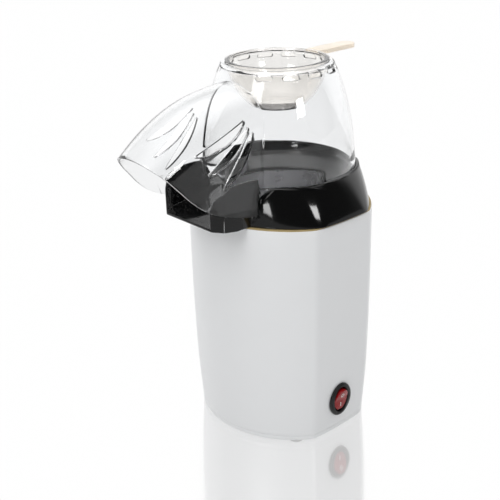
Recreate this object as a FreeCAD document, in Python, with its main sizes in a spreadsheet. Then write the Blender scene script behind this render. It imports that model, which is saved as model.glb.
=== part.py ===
import FreeCAD, Part
import math
import os

import Sketcher

# Hot-air popcorn maker.  Millimetres, +Z up.  The origin is the middle of the base cover's flat
# underside.  The spout and the hood's chute point along -Y, the rocker switch faces +X and the
# measuring cup's handle points along +Y.

SIZES = {
    # Housing plan: front and rear arcs, two slightly bowed side panels, rounded corners
    "plan_front": 65.5,       # axis to the middle of the front and rear arcs
    "plan_side": 69.0,        # axis to the middle of each side panel
    "plan_corner_y": 28.0,    # where a side panel would meet the front arc
    "plan_side_bow": 1.5,
    "plan_corner_r": 12.0,
    "housing_wall": 2.4,
    "housing_top": 186.0,
    "flare_low_z": 45.0,      # the plan grows upwards by these factors
    "flare_low": 1.038,
    "flare_high_z": 110.0,
    "flare_high": 1.059,
    "flare_top": 1.062,
    # Base cover and feet
    "base_edge": 5.0,         # height of the cover's visible edge
    "base_floor": 2.4,
    "base_round": 3.0,
    "rim_rise": 3.0,          # locating rim inside the housing
    "rim_wall": 1.8,
    "slip": 0.2,              # gap between pieces that slide together
    "slot_count": 18,
    "slot_near": 21.0,
    "slot_far": 42.0,
    "slot_width": 3.6,
    "foot_from_side": 17.0,
    "foot_from_front": 32.0,
    "foot_r": 6.0,
    "foot_out": 1.2,
    "foot_recess": 1.0,
    "boss_from_side": 8.0,
    "boss_y": 22.0,
    "boss_r": 6.0,
    "boss_top": 22.0,
    # Screws
    "screw_r": 1.5,
    "screw_head_r": 2.9,
    "screw_head": 1.6,
    "screw_long": 11.0,
    "screw_short": 5.0,
    # Collar, its dish and its spout
    "reveal": 1.0,            # seal seen between the housing and the collar
    "collar_over": 1.0,       # how far the collar stands out past the housing
    "collar_wall": 2.4,
    "crest_rise": 30.5,       # crest above the housing
    "crest_wall": 1.4,
    "seat_deep": 7.9,         # ledge that the hood stands on, below the crest
    "seat_shelf": 3.2,
    "dish_deep": 9.6,         # the dish's hole, below the ledge
    "hole_over": 0.5,
    "spout_reach": 93.5,
    "spout_half": 32.5,       # half width over the spout's side walls
    "spout_corner": 5.5,
    "spout_wall": 2.0,
    "spout_under_rise": 4.5,
    "spout_floor_rise": 6.2,
    "spout_corner_drop": 9.5,
    "spout_crown_rise": 6.8,
    "post_from_side": 5.0,
    "post_y": 15.0,
    "post_r": 3.5,
    "lug_drop": 10.0,
    "lug_thick": 3.0,
    # Popping chamber and hot-air duct
    "chamber_r": 41.5,
    "chamber_wall": 1.2,
    "chamber_deep": 81.0,
    "chamber_round": 5.0,
    "chamber_flange": 6.0,
    "louvre_count": 18,
    "gasket": 0.8,
    "duct_gap": 5.3,
    "duct_wall": 0.8,
    "duct_flange": 1.2,
    "ear_r": 3.4,
    "ear_gap": 4.7,
    "fan_room_gap": 3.2,
    "fan_room_tall": 19.5,
    "duct_neck_tall": 8.0,
    # Heater and its cut-outs
    "mica_drop": 36.0,
    "mica_tall": 24.0,
    "mica_thick": 1.0,
    "coil_r": 1.2,
    "coil_first": 14.0,
    "coil_clear": 8.0,        # outermost ring's middle to the duct's inner face
    "coil_count": 4,
    "thermostat_rise": 32.0,
    "thermostat_r": 8.4,
    "fuse_rise": 48.0,
    "fuse_r": 2.0,
    "fuse_long": 14.0,
    # Fan base, motor and impeller
    "plate_thick": 2.5,
    "plate_rim": 3.5,
    "leg_inset": 5.42,
    "leg_r": 4.2,
    "motor_r": 15.5,
    "motor_low": 18.0,
    "motor_long": 28.0,
    "motor_wall": 1.2,
    "motor_cap": 3.0,
    "motor_screw_place": 10.0,
    "shaft_r": 1.6,
    "running_gap": 0.05,
    "bush_r": 4.0,
    "bush_long": 4.0,
    "pin_long": 4.4,
    "shaft_below": 1.6,
    "shaft_above": 1.6,
    "impeller_r": 33.0,
    "impeller_gap": 1.9,
    "blade_tall": 12.0,
    "blade_count": 9,
    "board_thick": 1.6,
    "diode_r": 1.35,
    # Rocker switch, in its own frame: x along the panel, y up, z outwards
    "switch_y": -2.0,
    "switch_z": 30.0,
    "bezel_x": 12.0,
    "bezel_y": 15.0,
    "bezel_thick": 2.0,
    "bezel_round": 1.2,
    "bezel_lip_x": 2.6,
    "bezel_lip_y": 2.1,
    "socket_wall_x": 1.7,
    "socket_wall_y": 1.3,
    "switch_deep": 15.0,
    "switch_stand": 0.35,     # the flange clears the bowed panel by this much at its middle
    "rocker_gap": 0.35,
    "rocker_end_gap": 1.6,
    "rocker_rise": 1.6,
    "rocker_deep": 5.0,
    "rocker_travel": 16.0,
    "rocker_pin_r": 1.2,
    "rocker_pin_deep": 1.0,
    "blade_step": 7.0,
    # Hood and its chute
    "hood_play": 0.4,
    "hood_wall": 2.0,
    "band_r": 60.8,
    "band_step": 0.7,
    "band_tall": 17.0,
    "dome_tall": 69.4,
    "dome_curve": 185.0,
    "shoulder": 5.4,
    "shoulder_tall": 2.6,
    "hood_mouth_r": 38.9,
    "vent_drop": 4.8,
    "vent_count": 12,
    "vent_step": 25.7,
    "vent_first": 34.0,
    "vent_long": 12.5,
    "vent_tall": 3.2,
    "chute_draft": 0.075,
    "chute_skirt": 24.0,      # how far the uncut chute reaches below the hood's rim
    "wing_rise": 9.0,
    "wing_inset": 4.2,
    "slit_pivot_u": 41.4,
    "slit_pivot_rise": 65.8,
    "slit_near": 21.5,
    "slit_far": 68.5,
    "slit_first": 19.7,
    "slit_step": 14.6,
    "slit_end": 1.4,
    "slit_bulge_r": 52.0,
    # Measuring cup
    "cup_play": 0.5,
    "cup_rim_over": 1.1,
    "cup_rim": 1.6,
    "cup_wall": 1.8,
    "cup_deep": 36.4,
    "cup_base_r": 21.0,
    "cup_bowl_r": 44.0,
    "handle_reach": 84.0,
    "handle_half": 7.5,
    "handle_thick": 3.6,
    "handle_start": 3.6,
    # Supply side
    "inlet_z": 18.0,
    "inlet_r": 5.0,
    "inlet_bore_r": 3.2,
    "inlet_flange": 1.6,
    "inlet_stand": 1.2,       # the flared wall's face at the inlet, past the plan at the base
    "block_long": 22.0,
    "block_deep": 12.0,
    "block_tall": 12.0,
    "block_from_front": 21.5,
    "block_pitch": 11.0,
}

# Chute sections from the dome outwards: distance from the axis, half width at the top over the
# spout's half width, and ridge height over the hood's rim
CHUTE = [(20.0, 0.5, 80.6), (58.0, 0.5, 79.6), (90.0, 0.0, 73.6), (118.0, -1.5, 60.5),
         (147.0, -5.5, 39.5)]

doc = FreeCAD.newDocument("PopcornMaker")
sheet = doc.addObject("Spreadsheet::Sheet", "Sizes")
for row, (name, value) in enumerate(SIZES.items(), start=1):
    sheet.set("A%d" % row, name)
    sheet.set("B%d" % row, str(value))
    sheet.setAlias("B%d" % row, name)
doc.recompute()

Vector = FreeCAD.Vector
nodes = {}


class Size:
    """A length that carries both its number and the sheet expression that drives it."""

    def __init__(self, text, value):
        self.text = text
        self.value = float(value)

    def __add__(self, other):
        return combine(self, "+", other, self.value + number(other))

    def __radd__(self, other):
        return combine(other, "+", self, number(other) + self.value)

    def __sub__(self, other):
        return combine(self, "-", other, self.value - number(other))

    def __rsub__(self, other):
        return combine(other, "-", self, number(other) - self.value)

    def __mul__(self, other):
        return combine(self, "*", other, self.value * number(other))

    def __rmul__(self, other):
        return combine(other, "*", self, number(other) * self.value)

    def __truediv__(self, other):
        return combine(self, "/", other, self.value / number(other))

    def __neg__(self):
        return combine(0, "-", self, -self.value)


def number(size):
    return size.value if isinstance(size, Size) else float(size)


def words(size):
    return size.text if isinstance(size, Size) else "%.9g" % size


def combine(left, sign, right, value):
    return Size("(%s %s %s)" % (words(left), sign, words(right)), value)


derived = {}


def size(name):
    """A size from the sheet, or one that follows from others."""
    return derived[name] if name in derived else Size("Sizes." + name, sheet.get(name))


def cosine(angle):
    return Size("cos(%s * 1 deg)" % words(angle), math.cos(math.radians(number(angle))))


def sine(angle):
    return Size("sin(%s * 1 deg)" % words(angle), math.sin(math.radians(number(angle))))


def bind(thing, prop, length):
    thing.setExpression(prop, words(length))


def follow():
    """Every size and place that another one settles."""
    chord = size("plan_side") - size("plan_side_bow")
    rise = size("plan_front") - size("plan_corner_y")
    bow = size("plan_side_bow")
    derived["plan_front_r"] = (chord * chord + rise * rise) / (rise * 2)
    derived["plan_side_r"] = (size("plan_corner_y") * size("plan_corner_y") + bow * bow) / (bow * 2)
    derived["foot_x"] = size("plan_side") - size("foot_from_side")
    derived["foot_y"] = size("plan_front") - size("foot_from_front")
    derived["boss_x"] = size("plan_side") - size("boss_from_side")
    derived["post_x"] = size("plan_side") - size("post_from_side")
    derived["lug_z"] = size("housing_top") - size("lug_drop")
    derived["crest_z"] = size("housing_top") + size("crest_rise")
    derived["seat_z"] = size("crest_z") - size("seat_deep")
    derived["hole_z"] = size("seat_z") - size("dish_deep")
    derived["seat_r"] = size("band_r") + size("hood_play")
    derived["crest_r"] = size("seat_r") + size("crest_wall")
    derived["hole_r"] = size("chamber_r") + size("hole_over")
    derived["spout_front_half"] = size("spout_half") - size("spout_corner")
    derived["spout_under"] = size("housing_top") + size("spout_under_rise")
    derived["spout_floor_z"] = size("housing_top") + size("spout_floor_rise")
    derived["spout_corner_z"] = size("crest_z") - size("spout_corner_drop")
    derived["spout_crown_z"] = size("crest_z") + size("spout_crown_rise")
    derived["gasket_top"] = size("hole_z") - size("collar_wall")
    derived["chamber_top"] = size("gasket_top") - size("gasket")
    derived["duct_top"] = size("chamber_top") - size("chamber_wall")
    derived["chamber_floor"] = size("hole_z") - size("chamber_deep")
    derived["chamber_flange_r"] = size("chamber_r") + size("chamber_flange")
    derived["ear_circle_r"] = size("chamber_flange_r") + size("ear_gap")
    derived["duct_flange_r"] = size("ear_circle_r") + size("ear_r") + size("slip") * 2
    derived["duct_r"] = size("chamber_r") + size("duct_gap")
    derived["fan_room_r"] = size("duct_r") + size("fan_room_gap")
    derived["plate_r"] = size("fan_room_r") + size("plate_rim")
    derived["plate_z"] = size("motor_low") + size("motor_long")
    derived["plate_top"] = size("plate_z") + size("plate_thick")
    derived["leg_place"] = (size("plate_r") - size("leg_inset")) * cosine(45)
    derived["fan_room_top"] = size("plate_top") + size("fan_room_tall")
    derived["duct_neck_z"] = size("fan_room_top") + size("duct_neck_tall")
    derived["coil_last"] = size("duct_r") - size("duct_wall") - size("coil_clear")
    derived["coil_step"] = ((size("coil_last") - size("coil_first"))
                            / (size("coil_count") - 1))
    derived["mica_low"] = size("chamber_floor") - size("mica_drop")
    derived["mica_high"] = size("mica_low") + size("mica_tall")
    derived["impeller_z"] = size("plate_top") + size("impeller_gap")
    derived["cap_low"] = size("motor_low") - size("motor_cap")
    derived["board_top"] = size("cap_low") - size("pin_long")
    derived["socket_x"] = size("bezel_x") - size("bezel_lip_x")
    derived["socket_y"] = size("bezel_y") - size("bezel_lip_y")
    derived["mouth_x"] = size("socket_x") - size("socket_wall_x")
    derived["mouth_y"] = size("socket_y") - size("socket_wall_y")
    derived["hood_low"] = size("seat_z") + size("hood_play")
    derived["band_top"] = size("hood_low") + size("band_tall")
    derived["dome_r"] = size("band_r") - size("band_step")
    derived["shoulder_z"] = size("band_top") + size("dome_tall")
    derived["shoulder_r"] = size("hood_mouth_r") + size("shoulder")
    derived["hood_top"] = size("shoulder_z") + size("shoulder_tall")
    derived["vent_z"] = size("hood_top") - size("vent_drop")
    derived["chute_low"] = size("hood_low") - size("chute_skirt")
    derived["wing_low"] = size("housing_top") + size("wing_rise")
    derived["wing_back"] = size("seat_r") - size("wing_inset")
    derived["slit_pivot_z"] = size("hood_low") + size("slit_pivot_rise")
    derived["cup_r"] = size("hood_mouth_r") - size("cup_play")
    derived["cup_rim_r"] = size("hood_mouth_r") + size("cup_rim_over")
    derived["cup_top"] = size("hood_top") + size("hood_play") + size("cup_rim")
    derived["cup_base_z"] = size("cup_top") - size("cup_deep")
    derived["shaft_low"] = size("cap_low") - size("shaft_below")
    derived["shaft_top"] = size("impeller_z") + size("blade_tall") + size("shaft_above")
    derived["inlet_wall_y"] = size("plan_front") + size("inlet_stand")


follow()


# ---------------------------------------------------------------- sketches and features

def new_body(label):
    body = doc.addObject("PartDesign::Body", label)
    body.Label = label
    body.AllowCompound = True
    nodes[label] = body
    return body


def origin_part(body, role):
    return next(part for part in body.Origin.OriginFeatures if part.Role == role)


def new_sketch(body, role, level=0.0):
    sketch = body.newObject("Sketcher::SketchObject", "Sketch")
    sketch.AttachmentSupport = [(origin_part(body, role), "")]
    sketch.MapMode = "FlatFace"
    bind(sketch, "AttachmentOffset.Base.z", level)
    return sketch


def fix(sketch, kind, place, length):
    index = sketch.addConstraint(Sketcher.Constraint(kind, *place, number(length)))
    if isinstance(length, Size):
        sketch.setExpression("Constraints[%d]" % index, length.text)


def arc_between(start, end, radius):
    """The short arc from start to end.  A positive radius has its centre on the left."""
    chord = end - start
    middle = (start + end) * 0.5
    left = Vector(-chord.y, chord.x, 0).normalize()
    rise = math.sqrt(max(radius * radius - chord.Length ** 2 / 4, 0.0))
    centre = middle + left * (rise if radius > 0 else -rise)
    first, last = (start, end) if radius > 0 else (end, start)
    from_angle = math.atan2(first.y - centre.y, first.x - centre.x)
    to_angle = math.atan2(last.y - centre.y, last.x - centre.x)
    circle = Part.Circle(centre, Vector(0, 0, 1), abs(radius))
    return Part.ArcOfCircle(circle, from_angle, to_angle)


def loop(sketch, corners):
    """Close an outline through corners (x, y), or (x, y, radius) where an arc leads to one."""
    count = len(corners)
    ends = []
    for i, corner in enumerate(corners):
        before = corners[i - 1]
        start = Vector(number(before[0]), number(before[1]), 0)
        end = Vector(number(corner[0]), number(corner[1]), 0)
        if len(corner) == 2:
            index = sketch.addGeometry(Part.LineSegment(start, end), False)
            ends.append((index, 1, 2))
            continue
        radius = corner[2]
        index = sketch.addGeometry(arc_between(start, end, number(radius)), False)
        turns_left = number(radius) > 0
        ends.append((index, 1, 2) if turns_left else (index, 2, 1))
        fix(sketch, "Radius", (index,), radius if turns_left else -radius)
    for i, corner in enumerate(corners):
        index, _, last = ends[i]
        after, first, _ = ends[(i + 1) % count]
        sketch.addConstraint(Sketcher.Constraint("Coincident", index, last, after, first))
        fix(sketch, "DistanceX", (index, last), corner[0])
        fix(sketch, "DistanceY", (index, last), corner[1])


def ring(sketch, x, y, radius):
    index = sketch.addGeometry(Part.Circle(Vector(number(x), number(y), 0), Vector(0, 0, 1),
                                           number(radius)), False)
    fix(sketch, "DistanceX", (index, 3), x)
    fix(sketch, "DistanceY", (index, 3), y)
    fix(sketch, "Radius", (index,), radius)


def oval(sketch, half_x, half_y):
    """A tall four-arc oval about the sketch's origin."""
    end_r = half_x * half_x / half_y
    rise = half_y - end_r
    side_r = (half_x * half_x + rise * rise - end_r * end_r) / (2 * (half_x - end_r))
    reach = side_r - end_r
    x = end_r * (side_r - half_x) / reach
    y = rise + end_r * rise / reach
    loop(sketch, [(x, -y, end_r), (x, y, side_r), (-x, y, end_r), (-x, -y, side_r)])


def round_slot(x_near, x_far, half):
    """Corners of a slot along X with round ends, each end made of two quarter arcs."""
    return [(x_far - half, -half), (x_far, 0.0, half), (x_far - half, half, half),
            (x_near + half, half), (x_near, 0.0, half), (x_near + half, -half, half)]


def box_loop(x_low, x_high, y_low, y_high):
    return [(x_low, y_low), (x_high, y_low), (x_high, y_high), (x_low, y_high)]


def pad(body, sketch, length, reverse=False):
    feature = body.newObject("PartDesign::Pad", "Pad")
    feature.Profile = sketch
    bind(feature, "Length", length)
    feature.Reversed = reverse
    return feature


def checked_cut(body, feature, before):
    """Recompute a cutting feature and make sure that it removed something."""
    doc.recompute()
    if not body.Shape.Volume < before - 1e-6:
        raise RuntimeError("%s cuts nothing in %s" % (feature.Label, body.Label))
    return feature


def pocket(body, sketch, length=None, reverse=False, both_ways=False):
    doc.recompute()
    before = body.Shape.Volume
    feature = body.newObject("PartDesign::Pocket", "Pocket")
    feature.Profile = sketch
    feature.Reversed = reverse
    if length is None:
        feature.Type = "ThroughAll"
        feature.Midplane = both_ways
    else:
        bind(feature, "Length", length)
    return checked_cut(body, feature, before)


def slab(body, outlines, low, high):
    """Pad closed outlines from one level to another."""
    sketch = new_sketch(body, "XY_Plane", low)
    for corners in outlines:
        loop(sketch, corners)
    return pad(body, sketch, high - low)


def discs(body, places, radius, low, high):
    sketch = new_sketch(body, "XY_Plane", low)
    for x, y in places:
        ring(sketch, x, y, radius)
    return pad(body, sketch, high - low)


def drill(body, places, radius, low, high):
    sketch = new_sketch(body, "XY_Plane", high)
    for x, y in places:
        ring(sketch, x, y, radius)
    return pocket(body, sketch, high - low)


def turned(body, corners):
    """Revolve an outline given as (distance from the axis, height)."""
    sketch = new_sketch(body, "XZ_Plane")
    loop(sketch, corners)
    feature = body.newObject("PartDesign::Revolution", "Revolution")
    feature.Profile = sketch
    feature.ReferenceAxis = (sketch, ["V_Axis"])
    feature.Angle = 360
    return feature


def bored(body, corners):
    doc.recompute()
    before = body.Shape.Volume
    sketch = new_sketch(body, "XZ_Plane")
    loop(sketch, corners)
    feature = body.newObject("PartDesign::Groove", "Groove")
    feature.Profile = sketch
    feature.ReferenceAxis = (sketch, ["V_Axis"])
    feature.Angle = 360
    return checked_cut(body, feature, before)


def around(body, feature, count, step=None):
    """Repeat a feature about the Z axis, all round or with a stated step."""
    pattern = body.newObject("PartDesign::PolarPattern", "PolarPattern")
    pattern.Originals = [feature]
    pattern.Axis = (origin_part(body, "Z_Axis"), [""])
    bind(pattern, "Occurrences", count)
    if step is None:
        pattern.Angle = 360
    else:
        bind(pattern, "Angle", step * (count - 1))
    body.Tip = pattern
    doc.recompute()
    return pattern


def loft(body, kind, sketches):
    feature = body.newObject("PartDesign::" + kind, kind)
    feature.Profile = sketches[0]
    feature.Sections = sketches[1:]
    doc.recompute()
    return feature


def round_edges(body, level, radius):
    """Fillet the outermost closed run of edges that lies at one level."""
    doc.recompute()
    base = body.Tip
    names = []
    outer = base.Shape.BoundBox.YMax
    for i, edge in enumerate(base.Shape.Edges, start=1):
        box = edge.BoundBox
        flat = abs(box.ZMin - level) < 1e-4 and abs(box.ZMax - level) < 1e-4
        middle = edge.valueAt((edge.FirstParameter + edge.LastParameter) / 2)
        if flat and math.hypot(middle.x, middle.y) > 0.9 * outer:
            names.append("Edge%d" % i)
    feature = body.newObject("PartDesign::Fillet", "Fillet")
    feature.Base = (base, names)
    bind(feature, "Radius", radius)
    body.Tip = feature


def four(x, y):
    return [(x, y), (-x, y), (-x, -y), (x, -y)]


def spread(count, radius, first=0.0):
    """Places evenly round the axis, as (x, y)."""
    angles = [first + 360.0 * i / count for i in range(count)]
    return [(radius * cosine(angle), radius * sine(angle)) for angle in angles]


# ---------------------------------------------------------------- the housing's plan

class Plan:
    """Front and rear arcs, bowed sides and round corners; inset moves the whole outline in."""

    def __init__(self, front, front_r, side, side_r, corner_r):
        self.front = front
        self.front_r = front_r
        self.side = side
        self.side_r = side_r
        self.corner_r = corner_r

    def inset(self, depth):
        return Plan(self.front - depth, self.front_r - depth, self.side - depth,
                    self.side_r - depth, self.corner_r - depth)

    def arcs(self):
        """Eight arcs in order, counter-clockwise from the front, as (centre, radius, from, to)."""
        front, front_r = number(self.front), number(self.front_r)
        side, side_r = number(self.side), number(self.side_r)
        corner_r = number(self.corner_r)
        front_centre = Vector(0, front_r - front, 0)
        side_centre = Vector(side - side_r, 0, 0)
        apart = side_centre - front_centre
        reach_f, reach_s = front_r - corner_r, side_r - corner_r
        along = (reach_f ** 2 - reach_s ** 2 + apart.Length ** 2) / (2 * apart.Length)
        across = math.sqrt(reach_f ** 2 - along ** 2)
        line = Vector(apart).normalize()
        corner = front_centre + line * along + Vector(-line.y, line.x, 0) * across
        tilt_f = math.atan2(corner.y - front_centre.y, corner.x - front_centre.x)
        tilt_s = math.atan2(corner.y, corner.x - side_centre.x)
        quarter = [(front_centre, front_r, -math.pi - tilt_f, tilt_f),
                   (corner, corner_r, tilt_f, tilt_s),
                   (side_centre, side_r, tilt_s, -tilt_s),
                   (Vector(corner.x, -corner.y, 0), corner_r, -tilt_s, -tilt_f)]
        half = [(centre * -1, radius, start + math.pi, end + math.pi)
                for centre, radius, start, end in quarter]
        return quarter + half

    def draw(self, sketch):
        for centre, radius, start, end in self.arcs():
            circle = Part.Circle(centre, Vector(0, 0, 1), radius)
            sketch.addGeometry(Part.ArcOfCircle(circle, start, end), False)
        for i in range(8):
            after = (i + 1) % 8
            sketch.addConstraint(Sketcher.Constraint("Tangent", i, 2, after, 1))
        for i, radius in enumerate([self.front_r, self.corner_r, self.side_r, self.corner_r] * 2):
            fix(sketch, "Radius", (i,), radius)
        x_axis, y_axis = -1, -2
        for i, away in ((0, self.front_r - self.front), (4, self.front - self.front_r)):
            sketch.addConstraint(Sketcher.Constraint("PointOnObject", i, 3, y_axis))
            fix(sketch, "DistanceY", (i, 3), away)
        for i, away in ((2, self.side - self.side_r), (6, self.side_r - self.side)):
            sketch.addConstraint(Sketcher.Constraint("PointOnObject", i, 3, x_axis))
            fix(sketch, "DistanceX", (i, 3), away)

    def wire(self, level):
        edges = [Part.Arc(*[centre + Vector(math.cos(a), math.sin(a), 0) * radius
                            for a in (start, (start + end) / 2, end)]).toShape()
                 for centre, radius, start, end in self.arcs()]
        shape = Part.Wire(Part.__sortEdges__(edges))
        shape.translate(Vector(0, 0, level))
        return shape


def housing_plan(scale=1.0):
    return Plan(*[size("plan_" + name) * scale
                  for name in ("front", "front_r", "side", "side_r", "corner_r")])


def plan_slab(body, plan, low, high):
    sketch = new_sketch(body, "XY_Plane", low)
    plan.draw(sketch)
    return pad(body, sketch, high - low)


def plan_sink(body, plan, low, high):
    sketch = new_sketch(body, "XY_Plane", high)
    plan.draw(sketch)
    return pocket(body, sketch, high - low)


# ---------------------------------------------------------------- housing and base

def make_housing():
    body = new_body("housing")
    levels = [(size("base_edge"), 1.0), (size("flare_low_z"), size("flare_low")),
              (size("flare_high_z"), size("flare_high")), (size("housing_top"), size("flare_top"))]
    for kind, inset in (("AdditiveLoft", 0.0), ("SubtractiveLoft", size("housing_wall"))):
        sketches = []
        for level, scale in levels:
            sketch = new_sketch(body, "XY_Plane", level)
            housing_plan(scale).inset(inset).draw(sketch)
            sketches.append(sketch)
        loft(body, kind, sketches)
    rim_top = size("base_edge") + size("rim_rise") + size("slip")
    discs(body, four(size("boss_x"), size("boss_y")), size("boss_r"), rim_top, size("boss_top"))
    hole_top = rim_top + size("screw_long")
    drill(body, four(size("boss_x"), size("boss_y")), size("screw_r") + size("running_gap"),
          rim_top, hole_top)
    lug_in = size("post_x") - size("post_r") - 1
    lug_out = size("plan_side") * size("flare_top") - size("housing_wall") / 2
    for side in (1, -1):
        for y in (size("post_y"), -size("post_y")):
            x_ends = (lug_in, lug_out) if side > 0 else (-lug_out, -lug_in)
            slab(body, [box_loop(*x_ends, y - size("post_r") - 1, y + size("post_r") + 1)],
                 size("lug_z"), size("lug_z") + size("lug_thick"))
    drill(body, four(size("post_x"), size("post_y")), size("screw_r") + size("slip"),
          size("lug_z"), size("lug_z") + size("lug_thick"))
    switch_hole = new_sketch(body, "YZ_Plane", size("plan_side") - 15)
    bind(switch_hole, "AttachmentOffset.Base.x", size("switch_y"))
    bind(switch_hole, "AttachmentOffset.Base.y", size("switch_z"))
    oval(switch_hole, size("socket_x") + size("slip") * 2, size("socket_y") + size("slip") * 2)
    pocket(body, switch_hole, 30.0, reverse=True)
    inlet_hole = new_sketch(body, "XZ_Plane", -size("plan_front") + 12)
    ring(inlet_hole, 0.0, size("inlet_z"), size("inlet_r") + size("running_gap"))
    pocket(body, inlet_hole, 24.0)
    return body


def make_base_cover():
    body = new_body("base_cover")
    plan = housing_plan()
    rim = plan.inset(size("housing_wall") + size("slip"))
    rim_top = size("base_edge") + size("rim_rise")
    plan_slab(body, plan, 0.0, size("base_edge"))
    round_edges(body, 0.0, size("base_round"))
    plan_slab(body, rim, size("base_edge") - 1, rim_top)
    plan_sink(body, rim.inset(size("rim_wall")), size("base_floor"), rim_top)
    bosses = four(size("boss_x"), size("boss_y"))
    discs(body, bosses, size("screw_head_r") + size("slip") + 1.2, 1.0, rim_top)
    legs = four(size("leg_place"), size("leg_place"))
    head_room = size("screw_head") + size("slip")
    for places in (bosses, legs):
        drill(body, places, size("screw_r") + size("slip"), 0.0, rim_top)
        drill(body, places, size("screw_head_r") + size("slip"), 0.0, head_room)
    drill(body, four(size("foot_x"), size("foot_y")), size("foot_r") + size("slip") / 2,
          0.0, size("foot_recess"))
    slot = new_sketch(body, "XY_Plane", size("base_floor"))
    loop(slot, round_slot(size("slot_near"), size("slot_far"), size("slot_width") / 2))
    around(body, pocket(body, slot), size("slot_count"))
    return body


def make_feet():
    body = new_body("rubber_feet")
    discs(body, four(size("foot_x"), size("foot_y")), size("foot_r"), -size("foot_out"),
          size("foot_recess"))


def make_screws(label, places, head_low, long, up=True):
    """Pan-head screws standing in Z, with their heads at the bottom, or at the top."""
    body = new_body(label)
    head = size("screw_head")
    if up:
        discs(body, places, size("screw_head_r"), head_low, head_low + head)
        discs(body, places, size("screw_r"), head_low + head, head_low + head + long)
    else:
        discs(body, places, size("screw_head_r"), head_low, head_low + head)
        discs(body, places, size("screw_r"), head_low - long, head_low)
    return body


# ---------------------------------------------------------------- collar with dish and spout

def value(name):
    return number(size(name))


def prism(points, low, high):
    """A solid between two X planes whose outline is given as (distance along the spout, height)."""
    wire = Part.makePolygon([Vector(low, -u, z) for u, z in points + points[:1]])
    return Part.Face(wire).extrude(Vector(high - low, 0, 0))


def plan_prism(points, low, high):
    """A solid between two heights, mirrored about the spout's middle plane."""
    corners = [(x, u) for x, u in points] + [(-x, u) for x, u in reversed(points)]
    wire = Part.makePolygon([Vector(x, -u, low) for x, u in corners + corners[:1]])
    return Part.Face(wire).extrude(Vector(0, 0, high - low))


def column(x, y, radius, low, high):
    return Part.makeCylinder(radius, high - low, Vector(x, y, low))


def revolved(points):
    wire = Part.makePolygon([Vector(r, 0, z) for r, z in points + points[:1]])
    return Part.Face(wire).revolve(Vector(0, 0, 0), Vector(0, 0, 1), 360)


def collar_plan(climb, inset):
    """The plan at a share of the way up, from the housing's outline to the round crest."""
    drop = 1 - (1 - climb ** 1.2) ** 0.8
    top = value("flare_top")
    start = [value("plan_front") * top + value("collar_over"), value("plan_front_r") * top,
             value("plan_side") * top + value("collar_over"), value("plan_side_r") * top,
             value("plan_corner_r") * top]
    crest = value("crest_r")
    end = [crest, crest + 0.6, crest, crest + 1.2, crest - 2.0]
    return Plan(*[a + (b - a) * drop - inset for a, b in zip(start, end)])


def collar_loft(inset, steps=6):
    low = value("housing_top") + value("reveal")
    high = value("crest_z")
    wires = [collar_plan(i / steps, inset).wire(low + (high - low) * i / steps)
             for i in range(steps + 1)]
    return Part.makeLoft(wires, True, False)


def spout_side(points_in=0.0):
    """Side outline of the spout: underside, front edge and the arched top of its walls."""
    reach = value("spout_reach") - points_in
    crown = value("spout_crown_z")
    back = value("seat_r") * 0.62
    corner = value("spout_corner_z")
    low = value("housing_top") + value("reveal")
    rise = crown - corner
    arch = [(reach - 26 * (1 - math.cos(a)), corner + rise * math.sin(a))
            for a in [math.radians(d) for d in range(15, 91, 15)]]
    tail = [(back + 9 * (1 - math.sin(a)), crown - 7 * (1 - math.cos(a)))
            for a in [math.radians(d) for d in (0, 30, 60, 90)]]
    return [(back, low), (reach - 20, low), (reach, value("spout_under")), (reach, corner)] \
        + arch + tail


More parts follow.
